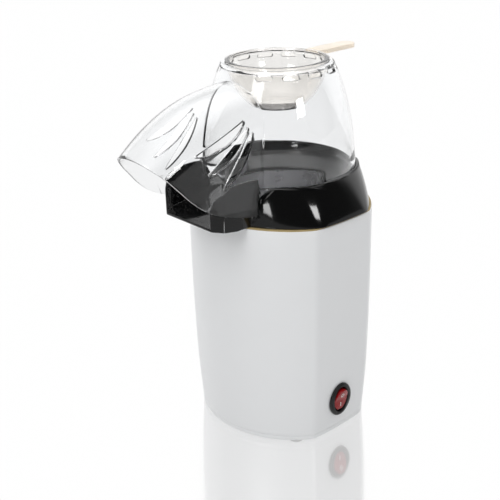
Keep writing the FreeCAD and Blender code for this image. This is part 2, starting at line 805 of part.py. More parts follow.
def make_collar():
    wall = value("collar_wall")
    low = value("housing_top") + value("reveal")
    crest = value("crest_z")
    high = value("spout_crown_z") + 10
    seat_r, seat_z = value("seat_r"), value("seat_z")
    hole_r, hole_z = value("hole_r"), value("hole_z")
    shelf = value("seat_shelf")
    dish = [(0, high), (seat_r, high), (seat_r, seat_z), (seat_r - shelf, seat_z),
            (seat_r - shelf - 1.5, seat_z - 2.2), (hole_r, hole_z), (hole_r, low - 5), (0, low - 5)]
    dish_skin = [(0, high), (seat_r + wall, high), (seat_r + wall, seat_z - wall),
                 (seat_r - shelf, seat_z - wall - 1), (hole_r + wall, hole_z - wall),
                 (0, hole_z - wall)]
    outer = collar_loft(0.0)
    half = value("spout_half")
    reach = value("spout_reach")
    front_half = value("spout_front_half")
    thin = value("spout_wall")
    spout_plan = [(half, 30), (half, reach - 8), (front_half, reach), (0, reach)]
    spout = prism(spout_side(), -half, half).common(plan_prism(spout_plan, low, high))
    floor_z = value("spout_floor_z")
    lip_z = floor_z + 0.2
    inner = half - thin
    knee = value("chamber_flange_r")
    trough_side = [(30, hole_z + 1.6), (knee, hole_z), (reach + 1, lip_z), (reach + 1, high),
                   (30, high)]
    trough_plan = [(inner, 30), (inner, reach - 8.5), (front_half - thin + 0.3, reach + 1),
                   (0, reach + 1)]
    trough = prism(trough_side, -inner, inner).common(plan_prism(trough_plan, low, high))
    skin = [(20, hole_z + 1.6 - wall), (knee, hole_z - wall), (reach + 1, lip_z - wall)]
    trough_skin = prism(skin + [(reach + 1, high), (20, high)], -half - 1, half + 1)
    fall = (skin[1][1] - skin[2][1]) / (reach + 1 - knee)
    front = value("plan_front") + 0.5
    skin_end = skin[1][1] - (front - knee) * fall
    skin_near = skin[1][1] - 2.5 * fall
    under_trough = prism(skin[:2] + [(front, skin_end), (front, low - 5), (20, low - 5)],
                         -inner, inner)
    under_walls = prism(skin[:2] + [(knee + 2.5, skin_near), (knee + 2.5, low - 5), (20, low - 5)],
                        -half - 1, half + 1)
    # The hood's wings hang in this space, outside the spout's walls
    wing = value("wing_low") - 0.7
    back = value("wing_back") - 0.8
    room = prism([(back, wing), (reach + 20, wing), (reach + 20, high), (back - 13, high),
                  (back - 12.4, crest + 1), (back - 7, seat_z - 1.5)], -90, 90)
    cavity = collar_loft(wall).cut(revolved(dish_skin)).cut(trough_skin)
    shelf_skin = [(back - 14, high), (back - 9 - wall, seat_z), (back - wall, wing - wall),
                  (reach, wing - wall), (reach, high)]
    for near, far in ((inner, 90), (-90, -inner)):
        cavity = cavity.cut(prism(shelf_skin, near, far))
    posts = [column(x * value("post_x"), y * value("post_y"), value("post_r"),
                    value("lug_z") + value("lug_thick"), crest) for x in (1, -1) for y in (1, -1)]
    stem_top = low + 1
    shape = outer.cut(cavity).cut(room).fuse(spout).cut(under_trough).cut(under_walls)
    ear_low = value("duct_top")
    for x, y in spread(3, size("ear_circle_r"), 90.0):
        shape = shape.fuse(column(number(x), number(y), value("ear_r"), ear_low, seat_z - 1))
    for post in posts:
        inside = post.common(outer)
        stem = post.common(Part.makeBox(400, 400, stem_top, Vector(-200, -200, 0)))
        shape = shape.fuse(inside).fuse(stem)
    shape = shape.cut(revolved(dish)).cut(trough)
    bite = value("screw_long")
    for x in (1, -1):
        for y in (1, -1):
            shape = shape.cut(column(x * value("post_x"), y * value("post_y"),
                                     value("screw_r") + value("running_gap"),
                                     value("lug_z"), value("lug_z") + value("lug_thick") + bite))
    for x, y in spread(3, size("ear_circle_r"), 90.0):
        shape = shape.cut(column(number(x), number(y), value("screw_r") + value("running_gap"),
                                 ear_low - 1, ear_low + 6))
    shape = shape.removeSplitter()
    collar = doc.addObject("Part::Feature", "collar")
    collar.Label = "collar"
    collar.Shape = shape
    nodes["collar"] = collar


def make_collar_seal():
    body = new_body("collar_seal")
    plan = housing_plan(size("flare_top"))
    low = size("housing_top")
    plan_slab(body, plan.inset(0.7), low, low + size("reveal"))
    plan_sink(body, plan.inset(size("housing_wall") + 0.3), low, low + size("reveal"))


# ---------------------------------------------------------------- chamber, duct and heater

def make_chamber():
    body = new_body("popping_chamber")
    flange_top, duct_top = size("chamber_top"), size("duct_top")
    outer, wall, floor = size("chamber_r"), size("chamber_wall"), size("chamber_floor")
    bend = size("chamber_round")
    turned(body, [(0.0, floor), (outer - bend, floor), (outer, floor + bend, bend),
                  (outer, duct_top), (size("chamber_flange_r"), duct_top),
                  (size("chamber_flange_r"), flange_top), (outer - wall, flange_top),
                  (outer - wall, floor + bend), (outer - bend, floor + wall, wall - bend),
                  (10.0, floor + wall), (4.0, floor + 8), (0.0, floor + 8)])
    slot = new_sketch(body, "XZ_Plane", outer - 4)
    loop(slot, [(-3.6, floor + 8), (-2.0, floor + 8), (3.6, floor + 24), (2.0, floor + 24)])
    around(body, pocket(body, slot, 8.0, reverse=True), size("louvre_count"))


def make_chamber_gasket():
    body = new_body("chamber_gasket")
    inner, outer = size("hole_r") + 1, size("chamber_flange_r")
    low, high = size("chamber_top"), size("gasket_top")
    turned(body, [(inner, low), (outer, low), (outer, high), (inner, high)])


def make_duct():
    body = new_body("hot_air_duct")
    top, low = size("duct_top"), size("plate_top")
    wall, outer, room = size("duct_wall"), size("duct_r"), size("fan_room_r")
    flange = top - size("duct_flange")
    turned(body, [(room - wall, low), (size("plate_r"), low), (size("plate_r"), low + 1),
                  (room, low + 1), (room, size("fan_room_top")), (outer, size("duct_neck_z")),
                  (outer, flange), (size("duct_flange_r"), flange), (size("duct_flange_r"), top),
                  (outer - wall, top), (outer - wall, size("duct_neck_z")),
                  (room - wall, size("fan_room_top"))])
    drill(body, spread(3, size("ear_circle_r"), 90.0), size("screw_r") + size("slip"), flange, top)


def make_mica():
    body = new_body("mica_frame")
    half = size("duct_r") - size("duct_wall") - size("slip")
    thick = size("mica_thick") / 2
    slab(body, [box_loop(-half, half, -thick, thick)], size("mica_low"), size("mica_high"))
    slab(body, [box_loop(-thick, thick, -half, half)], size("mica_low"), size("mica_high"))


def make_heating_coil():
    wire = size("coil_r")
    rings = []
    for i in range(int(value("coil_count"))):
        torus = doc.addObject("Part::Torus", "CoilRing")
        bind(torus, "Radius1", size("coil_first") + size("coil_step") * i)
        bind(torus, "Radius2", wire)
        bind(torus, "Placement.Base.z", size("mica_high") + wire + size("slip"))
        rings.append(torus)
    coil = doc.addObject("Part::Compound", "heating_coil")
    coil.Label = "heating_coil"
    coil.Links = rings
    nodes["heating_coil"] = coil


def make_cutouts():
    """Thermostat disc and one-shot fuse, strapped to the duct's outside on the -X side."""
    face = size("duct_r") + size("slip")
    middle = size("chamber_floor") + size("thermostat_rise")
    outer = size("thermostat_r")
    thermostat = new_body("thermostat")
    for low, high, radius in ((0.0, 5.5, outer), (5.5, 9.0, outer - 2.4)):
        sketch = new_sketch(thermostat, "YZ_Plane", -(face + high))
        ring(sketch, 0.0, middle, radius)
        pad(thermostat, sketch, high - low)
    blades = new_sketch(thermostat, "YZ_Plane", -(face + 12))
    for y in (-5.6, 3.2):
        loop(blades, box_loop(y, y + 2.4, middle - 0.4, middle + 0.4))
    pad(thermostat, blades, 4.0)
    fuse = new_body("thermal_fuse")
    low = size("chamber_floor") + size("fuse_rise")
    high = low + size("fuse_long")
    place = [(-(face + size("fuse_r") + 0.1), 0.0)]
    discs(fuse, place, size("fuse_r"), low, high)
    discs(fuse, place, size("fuse_r") / 4, low - 4, high + 4)


# ---------------------------------------------------------------- fan base, motor and impeller

def make_fan_base():
    body = new_body("fan_base")
    low, top = size("plate_z"), size("plate_top")
    discs(body, [(0.0, 0.0)], size("plate_r"), low, top)
    discs(body, four(size("leg_place"), size("leg_place")), size("leg_r"), size("base_floor"), low)
    drill(body, [(0.0, 0.0)], size("bush_r") + 1.5, low, top)
    drill(body, spread(2, size("motor_screw_place")), size("screw_r") + size("slip"), low, top)
    hole = new_sketch(body, "XY_Plane", top)
    loop(hole, round_slot(size("motor_r") + 1.5, size("motor_r") + 14.5, 3.0))
    around(body, pocket(body, hole, size("plate_thick")), 10)
    drill(body, four(size("leg_place"), size("leg_place")), size("screw_r") + size("running_gap"),
          size("base_floor"), size("base_floor") + size("screw_long"))


def make_motor():
    low, top, wall = size("motor_low"), size("plate_z"), size("motor_wall")
    outer, bush = size("motor_r"), size("bush_r") + size("running_gap")
    bore = size("shaft_r") + size("running_gap")
    can = new_body("motor_can")
    turned(can, [(outer - wall, low), (outer, low), (outer, top), (bush, top), (bush, top - wall),
                 (outer - wall, top - wall)])
    drill(can, spread(2, size("motor_screw_place")), size("screw_r") + size("running_gap"),
          top - wall, top)
    cap = new_body("motor_end_cap")
    cap_low, cap_r = size("cap_low"), outer - wall - 0.1
    turned(cap, [(bush, cap_low), (outer, cap_low), (outer, low), (cap_r, low), (cap_r, low + 1),
                 (bush, low + 1)])
    discs(cap, [(-7.0, 0.0), (7.0, 0.0)], 0.9, size("board_top"), cap_low)
    bushes = new_body("motor_bushes")
    for bottom in (top - 2.6, cap_low):
        sketch = new_sketch(bushes, "XY_Plane", bottom)
        ring(sketch, 0.0, 0.0, size("bush_r"))
        ring(sketch, 0.0, 0.0, bore)
        pad(bushes, sketch, size("bush_long"))
    magnets = new_body("motor_magnets")
    ring_out = outer - wall - 0.1
    turned(magnets, [(ring_out - 2.3, low + 4), (ring_out, low + 4), (ring_out, low + 23),
                     (ring_out - 2.3, low + 23)])
    doc.recompute()
    gap = new_sketch(magnets, "XY_Plane", low + 23)
    loop(gap, box_loop(-outer, outer, -3.0, 3.0))
    pocket(magnets, gap, 19.0)
    shaft = new_body("motor_shaft")
    discs(shaft, [(0.0, 0.0)], size("shaft_r"), size("shaft_low"), size("shaft_top"))
    core = new_body("rotor_core")
    sketch = new_sketch(core, "XY_Plane", low + 5)
    ring(sketch, 0.0, 0.0, outer - wall - 3.2)
    ring(sketch, 0.0, 0.0, bore)
    pad(core, sketch, 16.0)
    slot = new_sketch(core, "XY_Plane", low + 21)
    loop(slot, box_loop(4.5, outer, -0.8, 0.8))
    around(core, pocket(core, slot, 16.0), 9)
    commutator = new_body("commutator")
    sketch = new_sketch(commutator, "XY_Plane", low + 1.6)
    ring(sketch, 0.0, 0.0, 4.0)
    ring(sketch, 0.0, 0.0, bore)
    pad(commutator, sketch, 3.0)
    make_screws("motor_screws", spread(2, size("motor_screw_place")), size("plate_top"),
                size("plate_thick") + 2, up=False)


def make_impeller():
    body = new_body("impeller")
    low, outer = size("impeller_z"), size("impeller_r")
    turned(body, [(size("shaft_r") + size("running_gap"), low), (outer, low), (outer, low + 1.4),
                  (12.0, low + 1.4), (6.5, low + 5), (6.5, low + size("blade_tall")),
                  (size("shaft_r") + size("running_gap"), low + size("blade_tall"))])
    doc.recompute()
    blade = new_sketch(body, "XY_Plane", low + 1)
    loop(blade, [(6.0, -0.6), (outer - 1, 4.4, 46.0), (outer - 1.4, 5.6), (6.0, 0.7, -45.0)])
    around(body, pad(body, blade, size("blade_tall") - 1), size("blade_count"))


def make_rectifier():
    board_top, thick = size("board_top"), size("board_thick")
    board = new_body("rectifier_board")
    sketch = new_sketch(board, "XY_Plane", board_top - thick)
    ring(sketch, 0.0, 0.0, size("motor_r") - 2.5)
    ring(sketch, 0.0, 0.0, size("shaft_r") * 1.5)
    pad(board, sketch, thick)
    diodes = new_body("rectifier_diodes")
    for y in (-9.0, -5.2, 5.2, 9.0):
        sketch = new_sketch(diodes, "YZ_Plane", -2.6)
        ring(sketch, y, board_top + size("diode_r") + 0.1, size("diode_r"))
        pad(diodes, sketch, 5.2)


# ---------------------------------------------------------------- rocker switch

def panel_frame(housing):
    """Where the switch sits on the housing's +X panel: a point and the panel's tilt."""
    y, z = value("switch_y"), value("switch_z")
    outer = housing.Shape
    reach = value("bezel_y") + 3
    points = []
    for level in (z - reach, z + reach):
        line = Part.makeLine(Vector(0, y, level), Vector(120, y, level))
        inside = outer.common(line)
        points.append(Vector(inside.BoundBox.XMax, y, level))
    tilt = math.atan2(points[1].x - points[0].x, points[1].z - points[0].z)
    middle = (points[0] + points[1]) * 0.5
    outwards = Vector(math.cos(tilt), 0, -math.sin(tilt))
    upwards = Vector(math.sin(tilt), 0, math.cos(tilt))
    turn = FreeCAD.Rotation(Vector(0, 1, 0), upwards, outwards, "XYZ")
    # The panel bulges a little between the two points, so the flange stands clear of it
    return FreeCAD.Placement(middle + outwards * value("switch_stand"), turn)


def make_switch(housing):
    place = panel_frame(housing)
    thick, deep = size("bezel_thick"), size("switch_deep")
    bezel = new_body("switch_housing")
    flange = new_sketch(bezel, "XY_Plane", 0.0)
    oval(flange, size("bezel_x"), size("bezel_y"))
    pad(bezel, flange, thick)
    round_oval_edge(bezel, thick)
    socket = new_sketch(bezel, "XY_Plane", -deep)
    oval(socket, size("socket_x"), size("socket_y"))
    pad(bezel, socket, deep + thick / 2)
    mouth = new_sketch(bezel, "XY_Plane", thick + 1)
    oval(mouth, size("mouth_x"), size("mouth_y"))
    pocket(bezel, mouth, deep + thick - 1)
    pin = new_sketch(bezel, "YZ_Plane", -size("mouth_x") - 1.2)
    ring(pin, 0.0, -size("rocker_pin_deep"), size("rocker_pin_r") + size("running_gap"))
    pocket(bezel, pin, size("mouth_x") * 2 + 2.4, reverse=True)
    bezel.Placement = place

    rocker = new_body("switch_rocker")
    gap, rise, deep_end = size("rocker_gap"), size("rocker_rise"), size("rocker_deep")
    half_x, half_y = size("mouth_x") - gap, size("mouth_y") - size("rocker_end_gap")
    column = new_sketch(rocker, "XY_Plane", -deep_end)
    oval(column, half_x, half_y)
    pad(rocker, column, deep_end + 8)
    # The face is a shallow V: its lower half lies flush and its upper half stands out
    slope = sine(size("rocker_travel")) / cosine(size("rocker_travel"))
    end_y = half_y - 0.6
    sides = new_sketch(rocker, "YZ_Plane")
    loop(sides, [(-end_y, -deep_end - 1), (-end_y, rise - 0.2), (0.0, rise),
                 (end_y, rise + end_y * slope), (end_y, -deep_end - 1), (20.0, -deep_end - 1),
                 (20.0, 30.0), (-20.0, 30.0), (-20.0, -deep_end - 1)])
    pocket(rocker, sides, both_ways=True)
    pins = new_sketch(rocker, "YZ_Plane", -size("mouth_x") - 0.8)
    ring(pins, 0.0, -size("rocker_pin_deep"), size("rocker_pin_r"))
    pad(rocker, pins, size("mouth_x") * 2 + 1.6)
    rocker.Placement = place

    terminals = new_body("switch_terminals")
    for i in (-1, 0, 1):
        y = size("blade_step") * i
        sketch = new_sketch(terminals, "XY_Plane", -deep - 7)
        loop(sketch, box_loop(-2.4, 2.4, y - 0.4, y + 0.4))
        pad(terminals, sketch, 7.0)
    terminals.Placement = place
    return place


def round_oval_edge(body, level):
    doc.recompute()
    base = body.Tip
    names = ["Edge%d" % i for i, edge in enumerate(base.Shape.Edges, start=1)
             if edge.BoundBox.ZMin > number(level) - 1e-4]
    feature = body.newObject("PartDesign::Fillet", "Fillet")
    feature.Base = (base, names)
    bind(feature, "Radius", size("bezel_round"))
    body.Tip = feature


# ---------------------------------------------------------------- supply side

def make_supply():
    bushing = new_body("cord_bushing")
    wall_out = size("inlet_wall_y")
    radius, bore = size("inlet_r"), size("inlet_bore_r")
    levels = [(wall_out - 5, wall_out - 3.3, radius + 1.4), (wall_out - 3.3, wall_out + 0.2, radius),
              (wall_out + 0.2, wall_out + 2.2, radius + size("inlet_flange"))]
    for near, far, out in levels:
        sketch = new_sketch(bushing, "XZ_Plane", -far)
        ring(sketch, 0.0, size("inlet_z"), out)
        ring(sketch, 0.0, size("inlet_z"), bore)
        pad(bushing, sketch, far - near)
    block = new_body("terminal_block")
    low, half = size("base_floor"), size("block_long") / 2
    middle = size("plan_front") - size("block_from_front")
    deep = size("block_deep") / 2
    slab(block, [box_loop(-half, half, middle - deep, middle + deep)], low, low + size("block_tall"))
    places = [(-size("block_pitch") / 2, middle), (size("block_pitch") / 2, middle)]
    drill(block, places, 2.6, low + 5, low + size("block_tall"))
    screws = new_body("terminal_screws")
    discs(screws, places, 2.4, low + 5, low + 9)


# ---------------------------------------------------------------- hood and measuring cup

def chute_section(body, u, half, ridge, inset, low):
    """An arched section of the chute on a plane across the spout."""
    sketch = new_sketch(body, "XZ_Plane", u)
    top_half = half - inset
    spring = ridge - half
    crown = spring + top_half
    foot = top_half + (spring - low) * size("chute_draft")
    loop(sketch, [(foot, low), (top_half, spring), (0.0, crown, top_half),
                  (-top_half, spring, top_half), (-foot, low)])
    return sketch


def make_hood():
    body = new_body("hood")
    wall = size("hood_wall")
    low, band, band_top = size("hood_low"), size("band_r"), size("band_top")
    shoulder_z, shoulder_r, top = size("shoulder_z"), size("shoulder_r"), size("hood_top")
    step = size("band_step")
    turned(body, [(0.0, low), (band, low), (band, band_top), (size("dome_r"), band_top + step),
                  (shoulder_r, shoulder_z, size("dome_curve")), (shoulder_r - 3, top, 3.4),
                  (0.0, top)])
    chute_low = size("chute_low")
    stations = [(u, size("spout_half") + spare, low + rise) for u, spare, rise in CHUTE]
    sections = [chute_section(body, u, half, ridge, 0.0, chute_low) for u, half, ridge in stations]
    loft(body, "AdditiveLoft", sections)
    inner_r = band - wall - 0.5
    bored(body, [(0.0, low - 30), (inner_r, low - 30), (inner_r, band_top),
                 (shoulder_r - wall, shoulder_z - 0.6, size("dome_curve") - wall),
                 (size("hood_mouth_r"), top - wall), (size("hood_mouth_r"), top + 1), (0.0, top + 1)])
    before = body.Shape.Volume
    last = len(stations) - 1
    sections = [chute_section(body, u + (4 if i == last else 0), half, ridge, wall, chute_low - 2)
                for i, (u, half, ridge) in enumerate(stations)]
    checked_cut(body, loft(body, "SubtractiveLoft", sections), before)
    wing_low, wing_back = size("wing_low"), size("wing_back")
    mouth = new_sketch(body, "YZ_Plane")
    loop(mouth, [(-wing_back, wing_low), (-(wing_back + 27), wing_low + 7),
                 (-(wing_back + 59), wing_low + 27, -75.0), (-(wing_back + 93), wing_low + 65),
                 (-190.0, wing_low + 65), (-190.0, low - 89), (0.0, low - 89), (0.0, low - 0.01),
                 (-(wing_back - 8.4), low - 0.01)])
    pocket(body, mouth, both_ways=True)
    slits = new_sketch(body, "YZ_Plane")
    for i in range(3):
        angle = -(size("slit_first") + size("slit_step") * i)
        loop(slits, slit_corners(angle))
    pocket(body, slits, both_ways=True)
    vent = new_sketch(body, "XZ_Plane")
    reach = size("shoulder_r") - 6
    first = size("vent_first")
    vent.AttachmentOffset = FreeCAD.Placement(Vector(0, 0, 0),
                                              FreeCAD.Rotation(Vector(0, 1, 0), number(first)))
    bind(vent, "AttachmentOffset.Base.x", reach * sine(first))
    bind(vent, "AttachmentOffset.Base.y", size("vent_z"))
    bind(vent, "AttachmentOffset.Base.z", reach * cosine(first))
    loop(vent, round_slot(-size("vent_long") / 2, size("vent_long") / 2, size("vent_tall") / 2))
    around(body, pocket(body, vent, 12.0, reverse=True), size("vent_count"), size("vent_step"))


def slit_corners(angle):
    """A blade-shaped slit on a ray from the slits' common point, in (-u, z)."""
    near, far, half = size("slit_near"), size("slit_far"), size("slit_end") / 2
    pivot_u, pivot_z = size("slit_pivot_u"), size("slit_pivot_z")
    along_u, along_z = cosine(angle), sine(angle)

    def place(distance, across):
        u = pivot_u + distance * along_u - across * along_z
        z = pivot_z + distance * along_z + across * along_u
        return -u, z

    return [place(near, half), place(near, -half), (*place(far, -half), -size("slit_bulge_r")),
            place(far, half)]


def make_cup():
    body = new_body("measuring_cup")
    top, rim, wall = size("cup_top"), size("cup_rim"), size("cup_wall")
    rim_r, side_r = size("cup_rim_r"), size("cup_r")
    base_z, base_r, bowl = size("cup_base_z"), size("cup_base_r"), size("cup_bowl_r")
    turned(body, [(0.0, base_z), (base_r, base_z), (side_r, top - rim, bowl), (rim_r, top - rim),
                  (rim_r, top), (side_r - wall, top), (side_r - wall, top - rim),
                  (base_r - 0.6, base_z + wall, -(bowl - wall)), (0.0, base_z + wall)])
    doc.recompute()
    half, reach = size("handle_half"), size("handle_reach")
    thin = new_sketch(body, "XY_Plane", top - rim)
    loop(thin, [(-half, side_r - 0.4), (half, side_r - 0.4), (half, reach - half),
                (0.0, reach, half), (-half, reach - half, half)])
    pad(body, thin, rim)
    thick = new_sketch(body, "XY_Plane", top - size("handle_thick"))
    near = size("shoulder_r") + size("handle_start")
    loop(thick, [(-half, near), (half, near), (half, reach - half), (0.0, reach, half),
                 (-half, reach - half, half)])
    pad(body, thick, size("handle_thick"))


# ---------------------------------------------------------------- build and write

housing_body = make_housing()
make_base_cover()
make_feet()
make_screws("base_screws", four(size("boss_x"), size("boss_y"))
            + four(size("leg_place"), size("leg_place")), size("slip"), size("screw_long"))
make_collar()
make_collar_seal()
make_screws("collar_screws", four(size("post_x"), size("post_y")),
            size("lug_z") - size("screw_head"), size("screw_long"))
make_chamber()
make_chamber_gasket()
make_duct()
make_screws("chamber_screws", spread(3, size("ear_circle_r"), 90.0),
            size("duct_top") - size("duct_flange") - size("screw_head"), size("screw_short"))
make_mica()
make_heating_coil()
make_cutouts()
make_fan_base()
make_motor()
make_impeller()
make_rectifier()
doc.recompute()
switch_place = make_switch(housing_body)
make_supply()
make_hood()
make_cup()
doc.recompute()
pivot = switch_place.multVec(Vector(0, 0, -value("rocker_pin_deep")))
print("rocker pivot %.4f %.4f %.4f" % (pivot.x, pivot.y, pivot.z))

for thing in doc.Objects:
    for state in thing.State:
        if state in ("Invalid", "Error"):
            raise RuntimeError("%s is %s" % (thing.Label, state))
for label, thing in nodes.items():
    shape = thing.Shape
    if shape.isNull() or not shape.isValid() or not shape.Solids:
        raise RuntimeError("%s has no valid solid" % label)

os.makedirs("parts", exist_ok=True)
for label, thing in nodes.items():
    thing.Shape.exportStep("parts/%s.step" % label)
    box = thing.Shape.BoundBox
    print("%-18s solids %2d volume %9.1f  z %.1f to %.1f" % (
        label, len(thing.Shape.Solids), thing.Shape.Volume, box.ZMin, box.ZMax))
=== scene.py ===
import math

import bpy
from mathutils import Matrix, Vector


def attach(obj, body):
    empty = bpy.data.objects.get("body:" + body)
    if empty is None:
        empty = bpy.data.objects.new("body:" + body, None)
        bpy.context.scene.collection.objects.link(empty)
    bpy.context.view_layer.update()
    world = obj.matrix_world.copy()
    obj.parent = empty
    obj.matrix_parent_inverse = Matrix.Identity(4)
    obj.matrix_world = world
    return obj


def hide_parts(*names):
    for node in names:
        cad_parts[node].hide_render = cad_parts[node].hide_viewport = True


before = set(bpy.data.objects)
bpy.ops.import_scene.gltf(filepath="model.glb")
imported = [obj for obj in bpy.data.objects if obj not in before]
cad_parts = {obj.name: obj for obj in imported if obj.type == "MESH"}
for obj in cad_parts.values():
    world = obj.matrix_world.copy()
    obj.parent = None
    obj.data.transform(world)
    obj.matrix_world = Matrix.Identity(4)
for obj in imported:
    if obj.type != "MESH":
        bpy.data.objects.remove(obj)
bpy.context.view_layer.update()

# Shape values are in millimetres and go into the meshes through MM.
MM = 0.001
AROUND = 160            # steps round the hood, cup, collar and housing
HAIR = 0.004            # distance under which two mesh points are one, in millimetres
X, Y, Z = 0, 1, 2

# ------------------------------------------------------------------ modelling by hand, in code


def deselect():
    bpy.ops.object.select_all(action="DESELECT")


def take(piece):
    """Make piece the only selected object and the active one."""
    deselect()
    piece.select_set(True)
    bpy.context.view_layer.objects.active = piece
    return piece


def place(piece, points):
    for vertex, point in zip(piece.data.vertices, points):
        vertex.co = Vector(point) * MM


def outline(name, points):
    """A closed loop of edges through points."""
    deselect()
    bpy.ops.mesh.primitive_circle_add(vertices=len(points), radius=MM)
    piece = bpy.context.object
    piece.name = name
    place(piece, points)
    return piece


def close_up(piece):
    """Merge doubled points, drop loose edges, fill holes and turn every face outwards."""
    take(piece)
    bpy.ops.object.mode_set(mode="EDIT")
    bpy.ops.mesh.select_all(action="SELECT")
    bpy.ops.mesh.remove_doubles(threshold=HAIR * MM)
    bpy.ops.mesh.delete_loose()
    bpy.ops.mesh.select_all(action="SELECT")
    bpy.ops.mesh.fill_holes(sides=0)
    bpy.ops.mesh.select_all(action="SELECT")
    bpy.ops.mesh.normals_make_consistent(inside=False)
    bpy.ops.object.mode_set(mode="OBJECT")
    return piece


def loft(name, rings, capped=True):
    """A solid through rings of equal count, each extruded from the one before."""
    piece = take(outline(name, rings[0]))
    bpy.ops.object.mode_set(mode="EDIT")
    bpy.ops.mesh.select_all(action="SELECT")
    for _ in rings[1:]:
        bpy.ops.mesh.extrude_region_move()
    bpy.ops.object.mode_set(mode="OBJECT")
    place(piece, [point for ring in rings for point in ring])
    return close_up(piece) if capped else piece


def spin(name, profile, steps=AROUND):
    """Turn a closed outline of (radius, height) about the vertical axis."""
    piece = take(outline(name, [(radius, 0, height) for radius, height in profile]))
    bpy.ops.object.mode_set(mode="EDIT")
    bpy.ops.mesh.select_all(action="SELECT")
    bpy.ops.mesh.spin(steps=steps, angle=math.tau, center=(0, 0, 0), axis=(0, 0, 1))
    bpy.ops.object.mode_set(mode="OBJECT")
    return close_up(piece)


def prism(name, points, start, end, axis=X):
    """A solid between two planes across an axis, through an outline of the other two coordinates."""
    def at(level):
        if axis == X:
            return [(level, first, second) for first, second in points]
        if axis == Y:
            return [(first, level, second) for first, second in points]
        return [(first, second, level) for first, second in points]
    return loft(name, [at(start), at(end)])


def turn(piece, degrees, axis="Z"):
    piece.data.transform(Matrix.Rotation(math.radians(degrees), 4, axis))
    return piece


def copy_of(piece, name):
    twin = piece.copy()
    twin.data = piece.data.copy()
    twin.name = name
    bpy.context.scene.collection.objects.link(twin)
    return twin


def use(piece, kind, **settings):
    """Add a modifier with these settings and apply it."""
    take(piece)
    modifier = piece.modifiers.new(kind.title(), kind)
    for key, value in settings.items():
        setattr(modifier, key, value)
    bpy.ops.object.modifier_apply(modifier=modifier.name)
    return piece


def combine(piece, tools, operation):
    for tool in tools:
        use(piece, "BOOLEAN", operation=operation, solver="EXACT", object=tool)
        bpy.data.objects.remove(tool)
    return piece


def cut(piece, *tools):
    return combine(piece, tools, "DIFFERENCE")


def join(piece, *tools):
    return combine(piece, tools, "UNION")


def keep_common(piece, *tools):
    return combine(piece, tools, "INTERSECT")


SMOOTH_UNDER = math.radians(34)


def soften(piece, width, angle=32, segments=3):
    """Round the sharp edges and shade the rest smooth."""
    take(piece)
    bpy.ops.object.mode_set(mode="EDIT")
    bpy.ops.mesh.select_all(action="SELECT")
    bpy.ops.mesh.remove_doubles(threshold=0.02 * MM)
    bpy.ops.mesh.dissolve_degenerate(threshold=0.01 * MM)
    bpy.ops.object.mode_set(mode="OBJECT")
    if width:
        use(piece, "BEVEL", width=width * MM, segments=segments, limit_method="ANGLE",
            angle_limit=math.radians(angle), miter_outer="MITER_ARC", use_clamp_overlap=False,
            harden_normals=False)
    take(piece)
    bpy.ops.object.shade_smooth_by_angle(angle=SMOOTH_UNDER)
    return piece


# ------------------------------------------------------------------ outlines

def bulge(start, end, radius, steps):
    """Points after start, up to end, on an arc.  A positive radius has its centre on the left."""
    start, end = Vector(start), Vector(end)
    chord = end - start
    left = Vector((-chord.y, chord.x)).normalized()
    rise = math.sqrt(max(radius ** 2 - chord.length_squared / 4, 0))
    centre = (start + end) / 2 + left * math.copysign(rise, radius)
    first, last = start - centre, end - centre
    sweep = math.copysign(2 * math.asin(min(chord.length / 2 / abs(radius), 1)), radius)
    angle = math.atan2(first.y, first.x)
    size = abs(radius)
    return [(centre.x + size * math.cos(angle + sweep * i / steps),
             centre.y + size * math.sin(angle + sweep * i / steps)) for i in range(1, steps + 1)]


def rounded(corners, steps=5):
    """An outline whose corners (x, y, radius) are rounded; plain corners (x, y) stay as they are."""
    points = []
    for i, corner in enumerate(corners):
        here = Vector(corner[:2])
        if len(corner) == 2 or corner[2] == 0:
            points.append(tuple(here))
            continue
        before = Vector(corners[i - 1][:2])
        after = Vector(corners[(i + 1) % len(corners)][:2])
        into, out = (before - here).normalized(), (after - here).normalized()
        half = into.angle(out) / 2
        reach = corner[2] / math.tan(half)
        centre = here + (into + out).normalized() * corner[2] / math.sin(half)
        first = here + into * reach - centre
        last = here + out * reach - centre
        turned = first.angle_signed(last)
        for k in range(steps + 1):
            arm = first.copy()
            arm.rotate(Matrix.Rotation(-turned * k / steps, 2))
            points.append(tuple(centre + arm))
    return points


def curve_through(knots, place_at):
    """A smooth value at place_at, through knots of (place, value, ...)."""
    count = len(knots)
    k = max(i for i in range(count - 1) if place_at >= knots[i][0] or i == 0)
    here, there = knots[k], knots[k + 1]
    span = there[0] - here[0]
    share = (place_at - here[0]) / span

    def slope(i, part):
        a, b = knots[max(i - 1, 0)], knots[min(i + 1, count - 1)]
        return (b[part] - a[part]) / (b[0] - a[0])

    values = []
    for part in range(1, len(here)):
        s2, s3 = share ** 2, share ** 3
        values.append((2 * s3 - 3 * s2 + 1) * here[part] + (s3 - 2 * s2 + share) * span * slope(k, part)
                      + (3 * s2 - 2 * s3) * there[part] + (s3 - s2) * span * slope(k + 1, part))
    return values


def oval(half_x, half_y, count=96):
    """A tall oval as four tangent arcs, evenly stepped."""
    end_r = half_x ** 2 / half_y
    rise = half_y - end_r
    side_r = (half_x ** 2 + rise ** 2 - end_r ** 2) / (2 * (half_x - end_r))
    lean = math.atan2(rise, side_r - half_x)
    steps = count // 8
    quarter = [(half_x - side_r + side_r * math.cos(lean * i / steps),
                side_r * math.sin(lean * i / steps)) for i in range(steps)]
    quarter += [(end_r * math.cos(lean + (math.pi / 2 - lean) * i / steps),
                 rise + end_r * math.sin(lean + (math.pi / 2 - lean) * i / steps))
                for i in range(steps)]
    left = [(0, half_y)] + [(-x, y) for x, y in reversed(quarter[1:])]
    top = quarter + left
    return top + [(-x, -y) for x, y in top]


